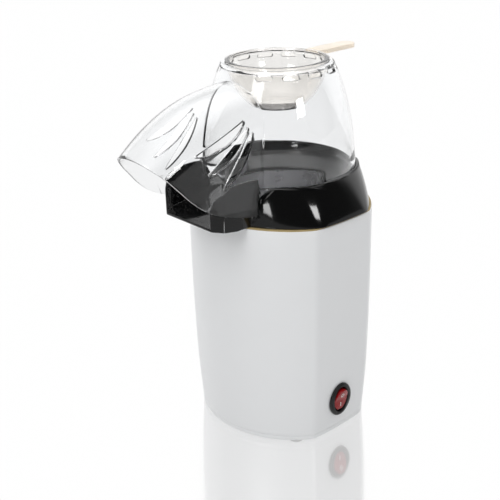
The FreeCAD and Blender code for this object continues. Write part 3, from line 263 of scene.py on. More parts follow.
def circle(x, y, radius, count=48):
    return [(x + radius * math.cos(math.tau * i / count), y + radius * math.sin(math.tau * i / count))
            for i in range(count)]


def arc_line(start, end, radius, steps):
    return [start] + bulge(start, end, radius, steps)


def slot_outline(half_long, half, steps=7):
    """A slot along its first coordinate with round ends."""
    ends = []
    for side in (1, -1):
        for k in range(steps + 1):
            angle = math.pi * (k / steps - 0.5)
            ends.append((side * (half_long - half + half * math.cos(angle)),
                         side * half * math.sin(angle)))
    return ends


class Plan:
    """The body's outline: front and rear arcs, bowed sides and round corners."""

    def __init__(self, front, front_r, side, side_r, corner_r):
        self.sizes = (front, front_r, side, side_r, corner_r)

    def points(self, level, inset=0.0, count=AROUND):
        front, front_r, side, side_r, corner_r = [size - inset for size in self.sizes]
        front_centre = Vector((0, front_r - front))
        side_centre = Vector((side - side_r, 0))
        apart = side_centre - front_centre
        reach_f, reach_s = front_r - corner_r, side_r - corner_r
        along = (reach_f ** 2 - reach_s ** 2 + apart.length_squared) / (2 * apart.length)
        across = math.sqrt(reach_f ** 2 - along ** 2)
        line = apart.normalized()
        corner = front_centre + line * along + Vector((-line.y, line.x)) * across
        tilt_f = math.atan2(corner.y - front_centre.y, corner.x - front_centre.x)
        tilt_s = math.atan2(corner.y, corner.x - side_centre.x)
        stretches = [(front_centre, front_r, -math.pi / 2, tilt_f, 0.42),
                     (corner, corner_r, tilt_f, tilt_s, 0.28),
                     (side_centre, side_r, tilt_s, 0.0, 0.30)]
        quarter = []
        for centre, radius, start, end, share in stretches:
            steps = round(count / 4 * share)
            quarter += [(centre.x + radius * math.cos(start + (end - start) * i / steps),
                         centre.y + radius * math.sin(start + (end - start) * i / steps))
                        for i in range(steps)]
        right = quarter + [(side, 0)] + [(x, -y) for x, y in reversed(quarter[1:])]
        ring = right + [(-x, -y) for x, y in right]
        return [(x, y, level) for x, y in ring]


# ------------------------------------------------------------------ materials

def make_grain_group():
    """Fine mottling: a value between Low and High that wanders over the surface."""
    tree = bpy.data.node_groups.new("fine_mottle", "ShaderNodeTree")
    tree.interface.new_socket("Vector", in_out="INPUT", socket_type="NodeSocketVector")
    for name in ("Scale", "Low", "High"):
        tree.interface.new_socket(name, in_out="INPUT", socket_type="NodeSocketFloat")
    tree.interface.new_socket("Value", in_out="OUTPUT", socket_type="NodeSocketFloat")
    start, end = tree.nodes.new("NodeGroupInput"), tree.nodes.new("NodeGroupOutput")
    noise = tree.nodes.new("ShaderNodeTexNoise")
    noise.inputs["Detail"].default_value = 4.0
    spread = tree.nodes.new("ShaderNodeMapRange")
    spread.inputs["From Min"].default_value = 0.3
    spread.inputs["From Max"].default_value = 0.7
    tree.links.new(start.outputs["Vector"], noise.inputs["Vector"])
    tree.links.new(start.outputs["Scale"], noise.inputs["Scale"])
    tree.links.new(noise.outputs["Fac"], spread.inputs["Value"])
    tree.links.new(start.outputs["Low"], spread.inputs["To Min"])
    tree.links.new(start.outputs["High"], spread.inputs["To Max"])
    tree.links.new(spread.outputs["Result"], end.inputs["Value"])
    return tree


def make_tint_group():
    """A colour that drifts between two near shades over the surface."""
    tree = bpy.data.node_groups.new("shade_drift", "ShaderNodeTree")
    tree.interface.new_socket("Vector", in_out="INPUT", socket_type="NodeSocketVector")
    tree.interface.new_socket("Scale", in_out="INPUT", socket_type="NodeSocketFloat")
    for name in ("Light", "Dark"):
        tree.interface.new_socket(name, in_out="INPUT", socket_type="NodeSocketColor")
    tree.interface.new_socket("Color", in_out="OUTPUT", socket_type="NodeSocketColor")
    start, end = tree.nodes.new("NodeGroupInput"), tree.nodes.new("NodeGroupOutput")
    noise = tree.nodes.new("ShaderNodeTexNoise")
    noise.inputs["Detail"].default_value = 3.0
    mix = tree.nodes.new("ShaderNodeMix")
    mix.data_type = "RGBA"
    tree.links.new(start.outputs["Vector"], noise.inputs["Vector"])
    tree.links.new(start.outputs["Scale"], noise.inputs["Scale"])
    tree.links.new(noise.outputs["Fac"], mix.inputs["Factor"])
    tree.links.new(start.outputs["Light"], mix.inputs["A"])
    tree.links.new(start.outputs["Dark"], mix.inputs["B"])
    tree.links.new(mix.outputs["Result"], end.inputs["Color"])
    return tree


def make_turning_group():
    """Height of the fine circular lines that a lathe or a spinning tool leaves about the axis."""
    tree = bpy.data.node_groups.new("lathe_lines", "ShaderNodeTree")
    tree.interface.new_socket("Vector", in_out="INPUT", socket_type="NodeSocketVector")
    tree.interface.new_socket("Pitch", in_out="INPUT", socket_type="NodeSocketFloat")
    tree.interface.new_socket("Height", in_out="OUTPUT", socket_type="NodeSocketFloat")
    start, end = tree.nodes.new("NodeGroupInput"), tree.nodes.new("NodeGroupOutput")
    wave = tree.nodes.new("ShaderNodeTexWave")
    wave.wave_type = "RINGS"
    wave.rings_direction = "Z"
    wave.inputs["Distortion"].default_value = 0.4
    tree.links.new(start.outputs["Vector"], wave.inputs["Vector"])
    tree.links.new(start.outputs["Pitch"], wave.inputs["Scale"])
    tree.links.new(wave.outputs["Fac"], end.inputs["Height"])
    return tree


MOTTLE = make_grain_group()
DRIFT = make_tint_group()
LINES = make_turning_group()


def add_group(tree, group, **values):
    node = tree.nodes.new("ShaderNodeGroup")
    node.node_tree = group
    for name, value in values.items():
        node.inputs[name].default_value = value
    place_on = tree.nodes.new("ShaderNodeTexCoord")
    tree.links.new(place_on.outputs["Object"], node.inputs["Vector"])
    return node


def finish_of(name, light, dark, rough, scale=40.0, metallic=0.0, bump=0.0, bump_scale=900.0,
              turned=0.0, **sockets):
    """A surface finish: two near shades, a range of roughness, and a fine texture in relief."""
    material = bpy.data.materials.new(name)
    material.use_nodes = True
    tree = material.node_tree
    shader = tree.nodes["Principled BSDF"]
    shader.inputs["Metallic"].default_value = metallic
    for socket, value in sockets.items():
        shader.inputs[socket.replace("_", " ")].default_value = value
    tint = add_group(tree, DRIFT, Scale=scale, Light=(*light, 1), Dark=(*dark, 1))
    tree.links.new(tint.outputs["Color"], shader.inputs["Base Color"])
    gloss = add_group(tree, MOTTLE, Scale=scale * 2, Low=rough[0], High=rough[1])
    tree.links.new(gloss.outputs["Value"], shader.inputs["Roughness"])
    if bump or turned:
        relief = tree.nodes.new("ShaderNodeBump")
        relief.inputs["Distance"].default_value = 0.0002
        if turned:
            relief.inputs["Strength"].default_value = turned
            lines = add_group(tree, LINES, Pitch=220.0)
            tree.links.new(lines.outputs["Height"], relief.inputs["Height"])
        else:
            relief.inputs["Strength"].default_value = bump
            grit = add_group(tree, MOTTLE, Scale=bump_scale, Low=0.0, High=1.0)
            tree.links.new(grit.outputs["Value"], relief.inputs["Height"])
        tree.links.new(relief.outputs["Normal"], shader.inputs["Normal"])
    return material


def see_through(name, light, dark, rough, ior=1.49, shadow=(0.97, 0.97, 0.97), **sockets):
    """Clear moulded plastic that lets light and its own shadow through."""
    material = finish_of(name, light, dark, rough, scale=25.0, Transmission_Weight=1.0, IOR=ior,
                         **sockets)
    tree = material.node_tree
    shader = tree.nodes["Principled BSDF"]
    output = tree.nodes["Material Output"]
    clear = tree.nodes.new("ShaderNodeBsdfTransparent")
    clear.inputs["Color"].default_value = (*shadow, 1)
    mix = tree.nodes.new("ShaderNodeMixShader")
    path = tree.nodes.new("ShaderNodeLightPath")
    tree.links.new(path.outputs["Is Shadow Ray"], mix.inputs["Fac"])
    tree.links.new(shader.outputs["BSDF"], mix.inputs[1])
    tree.links.new(clear.outputs["BSDF"], mix.inputs[2])
    tree.links.new(mix.outputs["Shader"], output.inputs["Surface"])
    return material


white_plastic = finish_of("white_plastic", (0.80, 0.81, 0.82), (0.785, 0.795, 0.805), (0.34, 0.40),
                          bump=0.02)
black_plastic = finish_of("black_plastic", (0.0016, 0.0017, 0.0018), (0.0024, 0.0025, 0.0026),
                          (0.07, 0.10), bump=0.01)
clear_plastic = see_through("clear_plastic", (0.985, 0.99, 0.995), (0.98, 0.985, 0.99),
                            (0.012, 0.03))
cup_plastic = see_through("cup_plastic", (0.985, 0.965, 0.94), (0.98, 0.96, 0.93), (0.02, 0.045))
handle_plastic = see_through("handle_plastic", (0.93, 0.86, 0.76), (0.91, 0.83, 0.72), (0.30, 0.40))
handle_plastic.node_tree.nodes["Principled BSDF"].inputs["Transmission Weight"].default_value = 0.35
seal_rubber = finish_of("seal_rubber", (0.45, 0.34, 0.16), (0.36, 0.27, 0.12), (0.5, 0.6))
switch_black = finish_of("switch_black", (0.003, 0.003, 0.003), (0.005, 0.005, 0.005),
                         (0.30, 0.38), bump=0.03, Specular_IOR_Level=0.3)
switch_red = finish_of("switch_red", (0.30, 0.004, 0.006), (0.22, 0.003, 0.004), (0.24, 0.30),
                       Specular_IOR_Level=0.35)
mark_white = finish_of("mark_white", (0.75, 0.73, 0.70), (0.70, 0.68, 0.66), (0.35, 0.45))
foot_rubber = finish_of("foot_rubber", (0.020, 0.020, 0.021), (0.028, 0.028, 0.029), (0.6, 0.75),
                        bump=0.15)
screw_steel = finish_of("screw_steel", (0.60, 0.60, 0.62), (0.50, 0.50, 0.52), (0.25, 0.38),
                        metallic=1.0)
chamber_aluminium = finish_of("chamber_aluminium", (0.78, 0.78, 0.79), (0.68, 0.68, 0.70),
                              (0.24, 0.36), metallic=1.0, turned=0.35)
duct_steel = finish_of("duct_steel", (0.58, 0.59, 0.60), (0.46, 0.47, 0.49), (0.3, 0.5),
                       metallic=1.0)
silicone = finish_of("silicone", (0.030, 0.030, 0.032), (0.042, 0.042, 0.044), (0.45, 0.6))
mica = finish_of("mica", (0.52, 0.44, 0.30), (0.38, 0.31, 0.20), (0.3, 0.5), scale=120.0, bump=0.2)
heater_wire = finish_of("heater_wire", (0.42, 0.38, 0.36), (0.26, 0.22, 0.21), (0.35, 0.5),
                        metallic=1.0)
cutout_steel = finish_of("cutout_steel", (0.62, 0.61, 0.58), (0.52, 0.51, 0.48), (0.28, 0.4),
                         metallic=1.0)
heat_resin = finish_of("heat_resin", (0.055, 0.05, 0.046), (0.075, 0.07, 0.064), (0.45, 0.6),
                       bump=0.15)
motor_steel = finish_of("motor_steel", (0.56, 0.57, 0.58), (0.47, 0.48, 0.50), (0.3, 0.42),
                        metallic=1.0, turned=0.2)
magnet = finish_of("magnet", (0.09, 0.09, 0.095), (0.13, 0.13, 0.135), (0.5, 0.7), bump=0.3)
bronze = finish_of("bronze", (0.62, 0.42, 0.20), (0.50, 0.33, 0.15), (0.35, 0.5), metallic=1.0)
core_steel = finish_of("core_steel", (0.40, 0.40, 0.42), (0.30, 0.30, 0.32), (0.4, 0.55),
                       metallic=1.0)
copper = finish_of("copper", (0.80, 0.42, 0.26), (0.66, 0.32, 0.18), (0.25, 0.4), metallic=1.0)
fan_nylon = finish_of("fan_nylon", (0.70, 0.69, 0.64), (0.64, 0.63, 0.58), (0.4, 0.5), bump=0.1)
circuit_board = finish_of("circuit_board", (0.30, 0.20, 0.08), (0.24, 0.15, 0.06), (0.4, 0.55))
part_black = finish_of("part_black", (0.02, 0.02, 0.02), (0.03, 0.03, 0.03), (0.35, 0.5))
terminal_resin = finish_of("terminal_resin", (0.72, 0.70, 0.62), (0.64, 0.62, 0.55), (0.35, 0.5),
                           bump=0.1)

FINISHES = {
    "white_plastic": white_plastic, "black_plastic": black_plastic, "clear_plastic": clear_plastic,
    "cup_plastic": cup_plastic, "seal": seal_rubber, "switch_black": switch_black,
    "switch_red": switch_red, "foot_rubber": foot_rubber, "screw_steel": screw_steel,
    "chamber_aluminium": chamber_aluminium, "duct_steel": duct_steel, "silicone": silicone,
    "mica": mica, "heater_wire": heater_wire, "cutout_steel": cutout_steel,
    "heat_resin": heat_resin, "motor_steel": motor_steel, "magnet": magnet, "bronze": bronze,
    "core_steel": core_steel, "copper": copper, "fan_nylon": fan_nylon,
    "circuit_board": circuit_board, "part_black": part_black, "terminal_resin": terminal_resin}


def paint(piece, material):
    piece.data.materials.clear()
    piece.data.materials.append(material)
    return piece


def settle(piece, body, slot, material, *nodes):
    """Paint a finished piece, let it ride its body and stand for its nodes."""
    paint(piece, material)
    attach(piece, body)
    if nodes:
        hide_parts(*nodes)
    return piece


# ------------------------------------------------------------------ white body

WALL = 2.4
BODY_PLAN = (65.5, 79.5, 69.0, 262.0, 12.0)
FLARE = [(5.0, 1.0), (45.0, 1.038), (110.0, 1.059), (186.0, 1.062)]


def body_ring(level, inset=0.0):
    scale = curve_through(FLARE, min(max(level, FLARE[0][0]), FLARE[-1][0]))[0]
    return Plan(*[size * scale for size in BODY_PLAN]).points(level, inset)


body_levels = [5, 9, 14, 20, 27, 35, 45, 56, 68, 82, 96, 110, 128, 146, 166, 186]
body_shell = loft("body_shell", [body_ring(level) for level in body_levels])
hollow_levels = [4] + body_levels[1:-1] + [187]
body_hollow = loft("body_hollow", [body_ring(level, WALL) for level in hollow_levels])
switch_oval = [(y - 2.0, z + 30.0) for y, z in oval(9.8, 13.3, 64)]
switch_opening = prism("switch_opening", switch_oval, 55, 90)
inlet_opening = prism("inlet_opening", circle(0.0, 18.0, 5.05), 50, 80, Y)
cut(body_shell, body_hollow, switch_opening, inlet_opening)
soften(body_shell, 0.35)
settle(body_shell, "stand", "white_plastic", white_plastic, "housing")

# ------------------------------------------------------------------ black collar with its spout

COLLAR_LOW = 187.0
CREST = 216.5
SEAT_R = 61.2
SEAT_Z = 208.6
HOLE_R = 42.0
HOLE_Z = 199.0
SPOUT_REACH = 93.5
SPOUT_HALF = 32.5
SPOUT_FRONT_HALF = 27.0
SPOUT_WALL = 2.0
SPOUT_FLOOR = 192.2
INNER = SPOUT_HALF - SPOUT_WALL
KNEE = 47.5             # where the dish's floor turns into the trough, from the axis
WING_U, WING_Z = 56.2, 194.3    # foot of the collar's bulge beside the spout


def collar_ring(share, inset=0.0):
    """The collar's outline at a share of its height."""
    drop = 1 - (1 - share ** 1.2) ** 0.8
    first = (66.561, 84.429, 74.278, 278.244, 12.744)
    last = (62.6, 63.2, 62.6, 63.8, 60.6)
    sizes = [a + (b - a) * drop for a, b in zip(first, last)]
    sizes[4] = first[4] + (last[4] - first[4]) * drop ** 0.6
    return Plan(*sizes).points(COLLAR_LOW + (CREST - COLLAR_LOW) * share, inset)


def side_prism(name, points, start, end):
    """A solid across the spout, through an outline of (distance along the spout, height)."""
    return prism(name, [(-u, z) for u, z in points], start, end)


def top_prism(name, points, start, end):
    """A solid between two heights whose outline (x, distance along the spout) is mirrored."""
    right = [(x, -u) for x, u in points]
    left = [(-x, y) for x, y in reversed(right)]
    ring = right + [point for point in left if abs(point[0]) > 0.01]
    return prism(name, ring, start, end, Z)


shares = [i / 28 for i in range(25)] + [0.9, 0.94, 0.97, 0.99, 1.0]
collar = loft("collar_shell", [collar_ring(share) for share in shares])
cavity = loft("collar_cavity", [collar_ring(share, WALL) for share in shares])
dish_skin = spin("dish_skin", [(0, 240), (SEAT_R + WALL, 240), (SEAT_R + WALL, SEAT_Z - WALL),
                               (SEAT_R - 3.2, SEAT_Z - WALL - 1), (HOLE_R + WALL, HOLE_Z - WALL),
                               (0, HOLE_Z - WALL)])
skin_line = [(20, HOLE_Z + 1.6 - WALL), (KNEE, HOLE_Z - WALL),
             (SPOUT_REACH + 1, SPOUT_FLOOR + 0.2 - WALL)]
trough_skin = side_prism("trough_skin", skin_line + [(SPOUT_REACH + 1, 240), (20, 240)],
                         -SPOUT_HALF - 1, SPOUT_HALF + 1)
cut(cavity, dish_skin, trough_skin)
shelf_line = [(WING_U - 14, 240), (WING_U - 9 - WALL, SEAT_Z), (WING_U - WALL, WING_Z - WALL),
              (SPOUT_REACH, WING_Z - WALL), (SPOUT_REACH, 240)]
cut(cavity, side_prism("shelf_right", shelf_line, INNER, 90),
    side_prism("shelf_left", shelf_line, -90, -INNER))
cut(collar, cavity)
nose_line = bulge((WING_U, WING_Z), (WING_U - 12.4, CREST + 1), 30.0, 12)
wing_line = [(WING_U, WING_Z), (SPOUT_REACH + 20, WING_Z), (SPOUT_REACH + 20, 240),
             (WING_U - 13, 240)] + list(reversed(nose_line))
cut(collar, side_prism("wing_room", wing_line, -90, 90))

back, corner_z, crown_z = SEAT_R * 0.62, 207.0, 223.3
arch = [(SPOUT_REACH - 26 * (1 - math.cos(a)), corner_z + (crown_z - corner_z) * math.sin(a))
        for a in [math.radians(d) for d in range(5, 91, 5)]]
tail = [(back + 24 * (1 - math.sin(a)), crown_z - 15.5 * (1 - math.cos(a)))
        for a in [math.radians(d) for d in range(6, 91, 6)]]
spout_side = [(back, COLLAR_LOW), (SPOUT_REACH - 20, COLLAR_LOW), (SPOUT_REACH, 190.5),
              (SPOUT_REACH, corner_z)] + arch + tail
spout = side_prism("spout", spout_side, -SPOUT_HALF, SPOUT_HALF)
spout_plan = rounded([(SPOUT_HALF, 30), (SPOUT_HALF, SPOUT_REACH - 8, 5),
                      (SPOUT_FRONT_HALF, SPOUT_REACH, 3), (0, SPOUT_REACH)])
keep_common(spout, top_prism("spout_plan", spout_plan, COLLAR_LOW, 240))
join(collar, spout)
fall = (HOLE_Z - SPOUT_FLOOR - 0.2) / (SPOUT_REACH + 1 - KNEE)
under = [(66, HOLE_Z - WALL - (66 - KNEE) * fall), (66, 180), (20, 180)]
under_side = [(19, HOLE_Z + 1.5 - WALL), (KNEE - 0.1, HOLE_Z - WALL - 0.1),
              (50, HOLE_Z - WALL - 0.1 - (50 - KNEE) * fall), (50, 179), (19, 179)]
cut(collar, side_prism("under_trough", skin_line[:2] + under, 0.15 - INNER, INNER - 0.15),
    side_prism("under_walls", under_side, -SPOUT_HALF - 1, SPOUT_HALF + 1))
dish_line = [(0, 240), (SEAT_R, 240), (SEAT_R, SEAT_Z)] + rounded(
    [(SEAT_R, SEAT_Z), (SEAT_R - 3.2, SEAT_Z, 0.8), (SEAT_R - 4.7, SEAT_Z - 2.2, 1.5),
     (HOLE_R, HOLE_Z, 1.2), (HOLE_R, 180)], 4)[1:] + [(0, 180)]
dish = spin("dish", dish_line)
trough_line = [(30, HOLE_Z + 1.6), (KNEE, HOLE_Z), (SPOUT_REACH + 1, SPOUT_FLOOR + 0.2),
               (SPOUT_REACH + 1, 240), (30, 240)]
trough_side = side_prism("trough", trough_line, -INNER, INNER)
trough_plan = rounded([(INNER, 30), (INNER, SPOUT_REACH - 8.5, 4), (25.3, SPOUT_REACH + 1),
                       (0, SPOUT_REACH + 1)])
keep_common(trough_side, top_prism("trough_plan", trough_plan, 180, 240))
cut(collar, dish, trough_side)


def edge_turns(piece):
    """The angle between the two faces that meet at each edge, by the edge's end points."""
    faces_at = {}
    for polygon in piece.data.polygons:
        for key in polygon.edge_keys:
            faces_at.setdefault(tuple(sorted(key)), []).append(polygon.normal)
    return {key: normals[0].angle(normals[1], 0.0) if len(normals) == 2 else 0.0
            for key, normals in faces_at.items()}


def round_nose(piece, width):
    """Round the edge where the collar's bulge ends beside the spout."""
    take(piece)
    turns = edge_turns(piece)
    bpy.ops.object.mode_set(mode="EDIT")
    bpy.ops.mesh.select_mode(type="EDGE")
    bpy.ops.mesh.select_all(action="DESELECT")
    bpy.ops.object.mode_set(mode="OBJECT")
    for edge in piece.data.edges:
        ends = [piece.data.vertices[i].co / MM for i in edge.vertices]
        middle = (ends[0] + ends[1]) / 2
        on_nose = all(any((Vector((-end.y, end.z)) - Vector(spot)).length < 1.6 for spot in nose_line)
                      and -end.y < WING_U + 0.02 for end in ends)
        sharp = turns.get(tuple(sorted(edge.vertices)), 0.0) > math.radians(40)
        edge.select = on_nose and abs(middle.x) > 40 and abs(ends[0].x - ends[1].x) < 3.0 and sharp
    bpy.ops.object.mode_set(mode="EDIT")
    bpy.ops.mesh.bevel(offset=width * MM, segments=6, affect="EDGES", clamp_overlap=True)
    bpy.ops.object.mode_set(mode="OBJECT")


round_nose(collar, 2.5)
soften(collar, 0.6, 30)
settle(collar, "stand", "black_plastic", black_plastic, "collar")

# ------------------------------------------------------------------ clear hood

HOOD_LOW = 209.0
HOOD_WALL = 2.0
BAND_R = 60.8
BAND_TOP = 226.0
DOME_R = 60.1
DOME_CURVE = 185.0
SHOULDER_Z = 295.4
SHOULDER_R = 44.3
HOOD_TOP = 298.0
MOUTH_R = 38.9
CHUTE_LOW = 185.0
DRAFT = 0.075
CHUTE = [(20.0, 33.0, 289.6), (58.0, 33.0, 288.6), (90.0, 32.5, 282.6), (118.0, 31.0, 269.5),
         (147.0, 27.0, 248.5)]


dome_line = ([(0, HOOD_LOW), (BAND_R, HOOD_LOW), (BAND_R, BAND_TOP - 6), (BAND_R - 0.12, BAND_TOP - 4),
              (BAND_R - 0.35, BAND_TOP - 2)]
             + arc_line((DOME_R, BAND_TOP + 0.7), (SHOULDER_R, SHOULDER_Z), DOME_CURVE, 24)
             + bulge((SHOULDER_R, SHOULDER_Z), (SHOULDER_R - 3, HOOD_TOP), 3.4, 6)
             + [(0, HOOD_TOP)])
room_r = BAND_R - HOOD_WALL - 0.5
dome_room_line = ([(0, HOOD_LOW - 30), (room_r, HOOD_LOW - 30)]
                  + arc_line((room_r, BAND_TOP), (SHOULDER_R - HOOD_WALL, SHOULDER_Z - 0.6),
                             DOME_CURVE - HOOD_WALL, 24)
                  + [(MOUTH_R, HOOD_TOP - HOOD_WALL), (MOUTH_R, HOOD_TOP + 1), (0, HOOD_TOP + 1)])


def chute_ring(u, inset, level):
    """An arched section of the chute at a distance u from the axis."""
    half, ridge = curve_through(CHUTE, u)
    spring = ridge - half
    top_half = half - inset
    foot = top_half + (spring - level) * DRAFT
    steps = 36
    points = [(foot + (top_half - foot) * i / 6, level + (spring - level) * i / 6) for i in range(6)]
    points += [(top_half * math.cos(math.pi * i / steps),
                spring + top_half * math.sin(math.pi * i / steps)) for i in range(steps + 1)]
    points += [(-x, z) for x, z in reversed(points[:6])]
    return [(x, -u, z) for x, z in points]


stations = [20 + 127 * i / 30 for i in range(31)]
hood = spin("hood_shell", dome_line)
join(hood, loft("chute", [chute_ring(u, 0.0, CHUTE_LOW) for u in stations]))
chute_room = loft("chute_room", [chute_ring(u, HOOD_WALL, CHUTE_LOW - 2) for u in stations]
                  + [[(x, y - 5, z) for x, y, z in chute_ring(147, HOOD_WALL, CHUTE_LOW - 2)]])
cut(hood, spin("dome_room", dome_room_line), chute_room)
wing_back, wing_low = 57.0, 195.0
mouth_line = [(wing_back, wing_low), (wing_back + 27, wing_low + 7)]
mouth_line += [(-x, z) for x, z in bulge((-(wing_back + 27), wing_low + 7),
                                         (-(wing_back + 59), wing_low + 27), -75.0, 10)]
mouth_line += [(wing_back + 93, wing_low + 65), (190, wing_low + 65), (190, 120), (0, 120),
               (0, HOOD_LOW - 0.01), (wing_back - 8.4, HOOD_LOW - 0.01)]
cut(hood, side_prism("mouth_cut", mouth_line, -120, 120))
slit_pivot = Vector((41.4, 274.8))
SLITS, SLIT_FIRST, SLIT_STEP, SLIT_HALF, SLIT_CURVE = 3, 19.7, 14.6, 0.7, 52.0
SLIT_NEAR, SLIT_FAR = 21.5, 68.5
for i in range(SLITS):
    angle = -math.radians(SLIT_FIRST + SLIT_STEP * i)
    along = Vector((math.cos(angle), math.sin(angle)))
    across = Vector((-along.y, along.x))
    near, far = slit_pivot + along * SLIT_NEAR, slit_pivot + along * SLIT_FAR
    blade = [near + across * SLIT_HALF, near - across * SLIT_HALF, far - across * SLIT_HALF,
             far + across * SLIT_HALF]
    first, second, third, last = [(-spot.x, spot.y) for spot in blade]
    blade_line = [first, second] + bulge(second, third, -SLIT_CURVE, 12) + [last]
    cut(hood, prism("slit_%d" % i, blade_line, -120, 120))
VENTS, VENT_FIRST, VENT_STEP, VENT_Z = 12, -146.0, 25.7, 293.2
vent_line = [(x, z + VENT_Z) for x, z in slot_outline(6.25, 1.6)]
for i in range(VENTS):
    cut(hood, turn(prism("vent_%d" % i, vent_line, 34, 50, Y), VENT_FIRST + VENT_STEP * i))
soften(hood, 0.3)
settle(hood, "hood", "clear_plastic", clear_plastic, "hood")

# ------------------------------------------------------------------ measuring cup

CUP_TOP = 300.0
CUP_RIM = 1.6
CUP_BASE = 263.6
cup_inside = arc_line((20.4, CUP_BASE + 1.8), (36.6, CUP_TOP - CUP_RIM), 42.2, 20)
cup_line = ([(0, CUP_BASE), (20.2, CUP_BASE)]
            + arc_line((21.0, CUP_BASE + 0.4), (38.4, CUP_TOP - CUP_RIM), 44.0, 20)
            + rounded([(38.4, CUP_TOP - CUP_RIM), (40.0, CUP_TOP - CUP_RIM, 0.6),
                       (40.0, CUP_TOP, 0.7), (36.6, CUP_TOP, 0.8), (36.6, CUP_TOP - CUP_RIM)], 4)[1:]
            + list(reversed(cup_inside[:-1]))
            + [(0, CUP_BASE + 1.8)])
cup = spin("cup", cup_line)
HANDLE_REACH, HANDLE_HALF = 84.0, 7.5
handle_end = [(HANDLE_HALF * math.cos(a), HANDLE_REACH - HANDLE_HALF + HANDLE_HALF * math.sin(a))
              for a in [math.radians(degrees) for degrees in range(0, 181, 10)]]
neck = prism("handle_neck", [(-HANDLE_HALF, 38.0), (HANDLE_HALF, 38.0)] + handle_end,
             CUP_TOP - CUP_RIM, CUP_TOP - 0.02, Z)
grip = prism("handle_grip", [(-HANDLE_HALF, 47.9), (HANDLE_HALF, 47.9)] + handle_end,
             CUP_TOP - 3.6, CUP_TOP - 0.02, Z)
join(neck, grip)
cut(neck, spin("handle_root", [(0, CUP_BASE - 5), (39.7, CUP_BASE - 5), (39.7, CUP_TOP + 2),
                               (0, CUP_TOP + 2)]))
soften(neck, 0.5)
soften(cup, 0.4)
neck.name = "cup_handle"
settle(neck, "cup", "cup_plastic", handle_plastic)
settle(cup, "cup", "cup_plastic", cup_plastic, "measuring_cup")

# ------------------------------------------------------------------ rocker switch

SWITCH_PLACE = Vector((71.0129, -2.0, 29.979))
outwards = Vector((0.9982, 0.0, -0.06003)).normalized()
upwards = Vector((-outwards.z, 0.0, outwards.x))
switch_turn = Matrix((Vector((0, 1, 0)), upwards, outwards)).transposed().to_4x4()


def onto_panel(piece):
    """Put a piece that was made in the switch's own frame onto the side panel."""
    piece.data.transform(Matrix.Translation(SWITCH_PLACE * MM) @ switch_turn)
    return piece


def oval_loft(name, rings):
    """A solid through ovals of (half width, half height, level)."""
    return loft(name, [[(x, y, level) for x, y in oval(half_x, half_y)]
                       for half_x, half_y, level in rings])


frame_piece = oval_loft("switch_frame", [(9.4, 12.9, -15.0), (9.4, 12.9, 0.0), (12.0, 15.0, 0.0),
                                         (12.0, 15.0, 0.9), (11.8, 14.8, 1.4), (11.4, 14.4, 1.8),
                                         (10.8, 13.8, 2.0)])
mouth = oval_loft("switch_mouth", [(7.7, 11.6, -14.0), (7.7, 11.6, 1.4), (8.1, 12.0, 1.9),
                                   (8.3, 12.2, 3.0)])
pin_hole = prism("pin_hole", circle(0.0, -1.0, 1.25, 24), -8.9, 8.9)
cut(frame_piece, mouth, pin_hole)
soften(frame_piece, 0.15)
settle(onto_panel(frame_piece), "stand", "switch_black", switch_black, "switch_housing")

rocker = oval_loft("rocker", [(7.35, 10.0, -5.0), (7.35, 10.0, 8.0)])
TIP = 16.0              # how far the rocker's upper face leans out, in degrees
slope = math.tan(math.radians(TIP))
rocker_side = [(-9.4, -6.0), (9.4, -6.0), (9.4, 1.6 + 9.4 * slope), (0.0, 1.6), (-9.4, 1.4)]
keep_common(rocker, prism("rocker_side", rocker_side, -20, 20))
soften(rocker, 0.5)
join(rocker, prism("rocker_pins", circle(0.0, -1.0, 1.2, 24), -8.5, 8.5))
settle(onto_panel(rocker), "rocker", "switch_red", switch_red, "switch_rocker")


def mark(name, points, hole=None):
    """A raised mark on the rocker's upper or lower face."""
    piece = prism(name, points, 0.0, 0.25, Z)
    if hole:
        cut(piece, prism(name + "_hole", hole, -1.0, 1.0, Z))
    return piece


def lay_on_rocker(piece, y, level, lean):
    """Lay a mark on the rocker's face, turned by lean degrees, and paint it."""
    spot = Matrix.Translation(Vector((0, y, level)) * MM)
    piece.data.transform(spot @ Matrix.Rotation(math.radians(lean), 4, "X"))
    return settle(onto_panel(piece), "rocker", "switch_red", mark_white)


MARK_Y = 4.6            # distance of each mark from the rocker's middle
off_outer = [(x * 0.85, y) for x, y in circle(0, 0, 1.9, 40)]
off_inner = [(x * 0.8, y) for x, y in circle(0, 0, 1.35, 40)]
on_bar = rounded([(-0.35, -1.9, 0.1), (0.35, -1.9, 0.1), (0.35, 1.9, 0.1), (-0.35, 1.9, 0.1)], 2)
lay_on_rocker(mark("off_mark", off_outer, off_inner), MARK_Y, 1.6 + MARK_Y * slope, TIP)
lay_on_rocker(mark("on_mark", on_bar), -MARK_Y, 1.45, 1.2)

# ------------------------------------------------------------------ feet

foot_line = [(0, -1.2), (5.1, -1.2)] + bulge((5.1, -1.2), (6.0, -0.3), 0.9, 5) + [(6.0, 1.0), (0, 1.0)]
foot = spin("foot_front_right", foot_line, 48)
soften(foot, 0)
FOOT_X, FOOT_Y = 52, 33.5
feet = [foot] + [copy_of(foot, name)
                 for name in ("foot_rear_right", "foot_rear_left", "foot_front_left")]
foot_spots = [(FOOT_X, -FOOT_Y), (FOOT_X, FOOT_Y), (-FOOT_X, FOOT_Y), (-FOOT_X, -FOOT_Y)]
for piece, (x, y) in zip(feet, foot_spots):
    piece.data.transform(Matrix.Translation(Vector((x, y, 0)) * MM))
    settle(piece, "stand", "foot_rubber", foot_rubber)
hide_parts("rubber_feet")

# ------------------------------------------------------------------ finishes on the other nodes

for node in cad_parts.values():
    for index, plain in enumerate(node.data.materials):
        node.data.materials[index] = FINISHES[plain.name.split(".")[0]]

# ------------------------------------------------------------------ camera, floor and lights

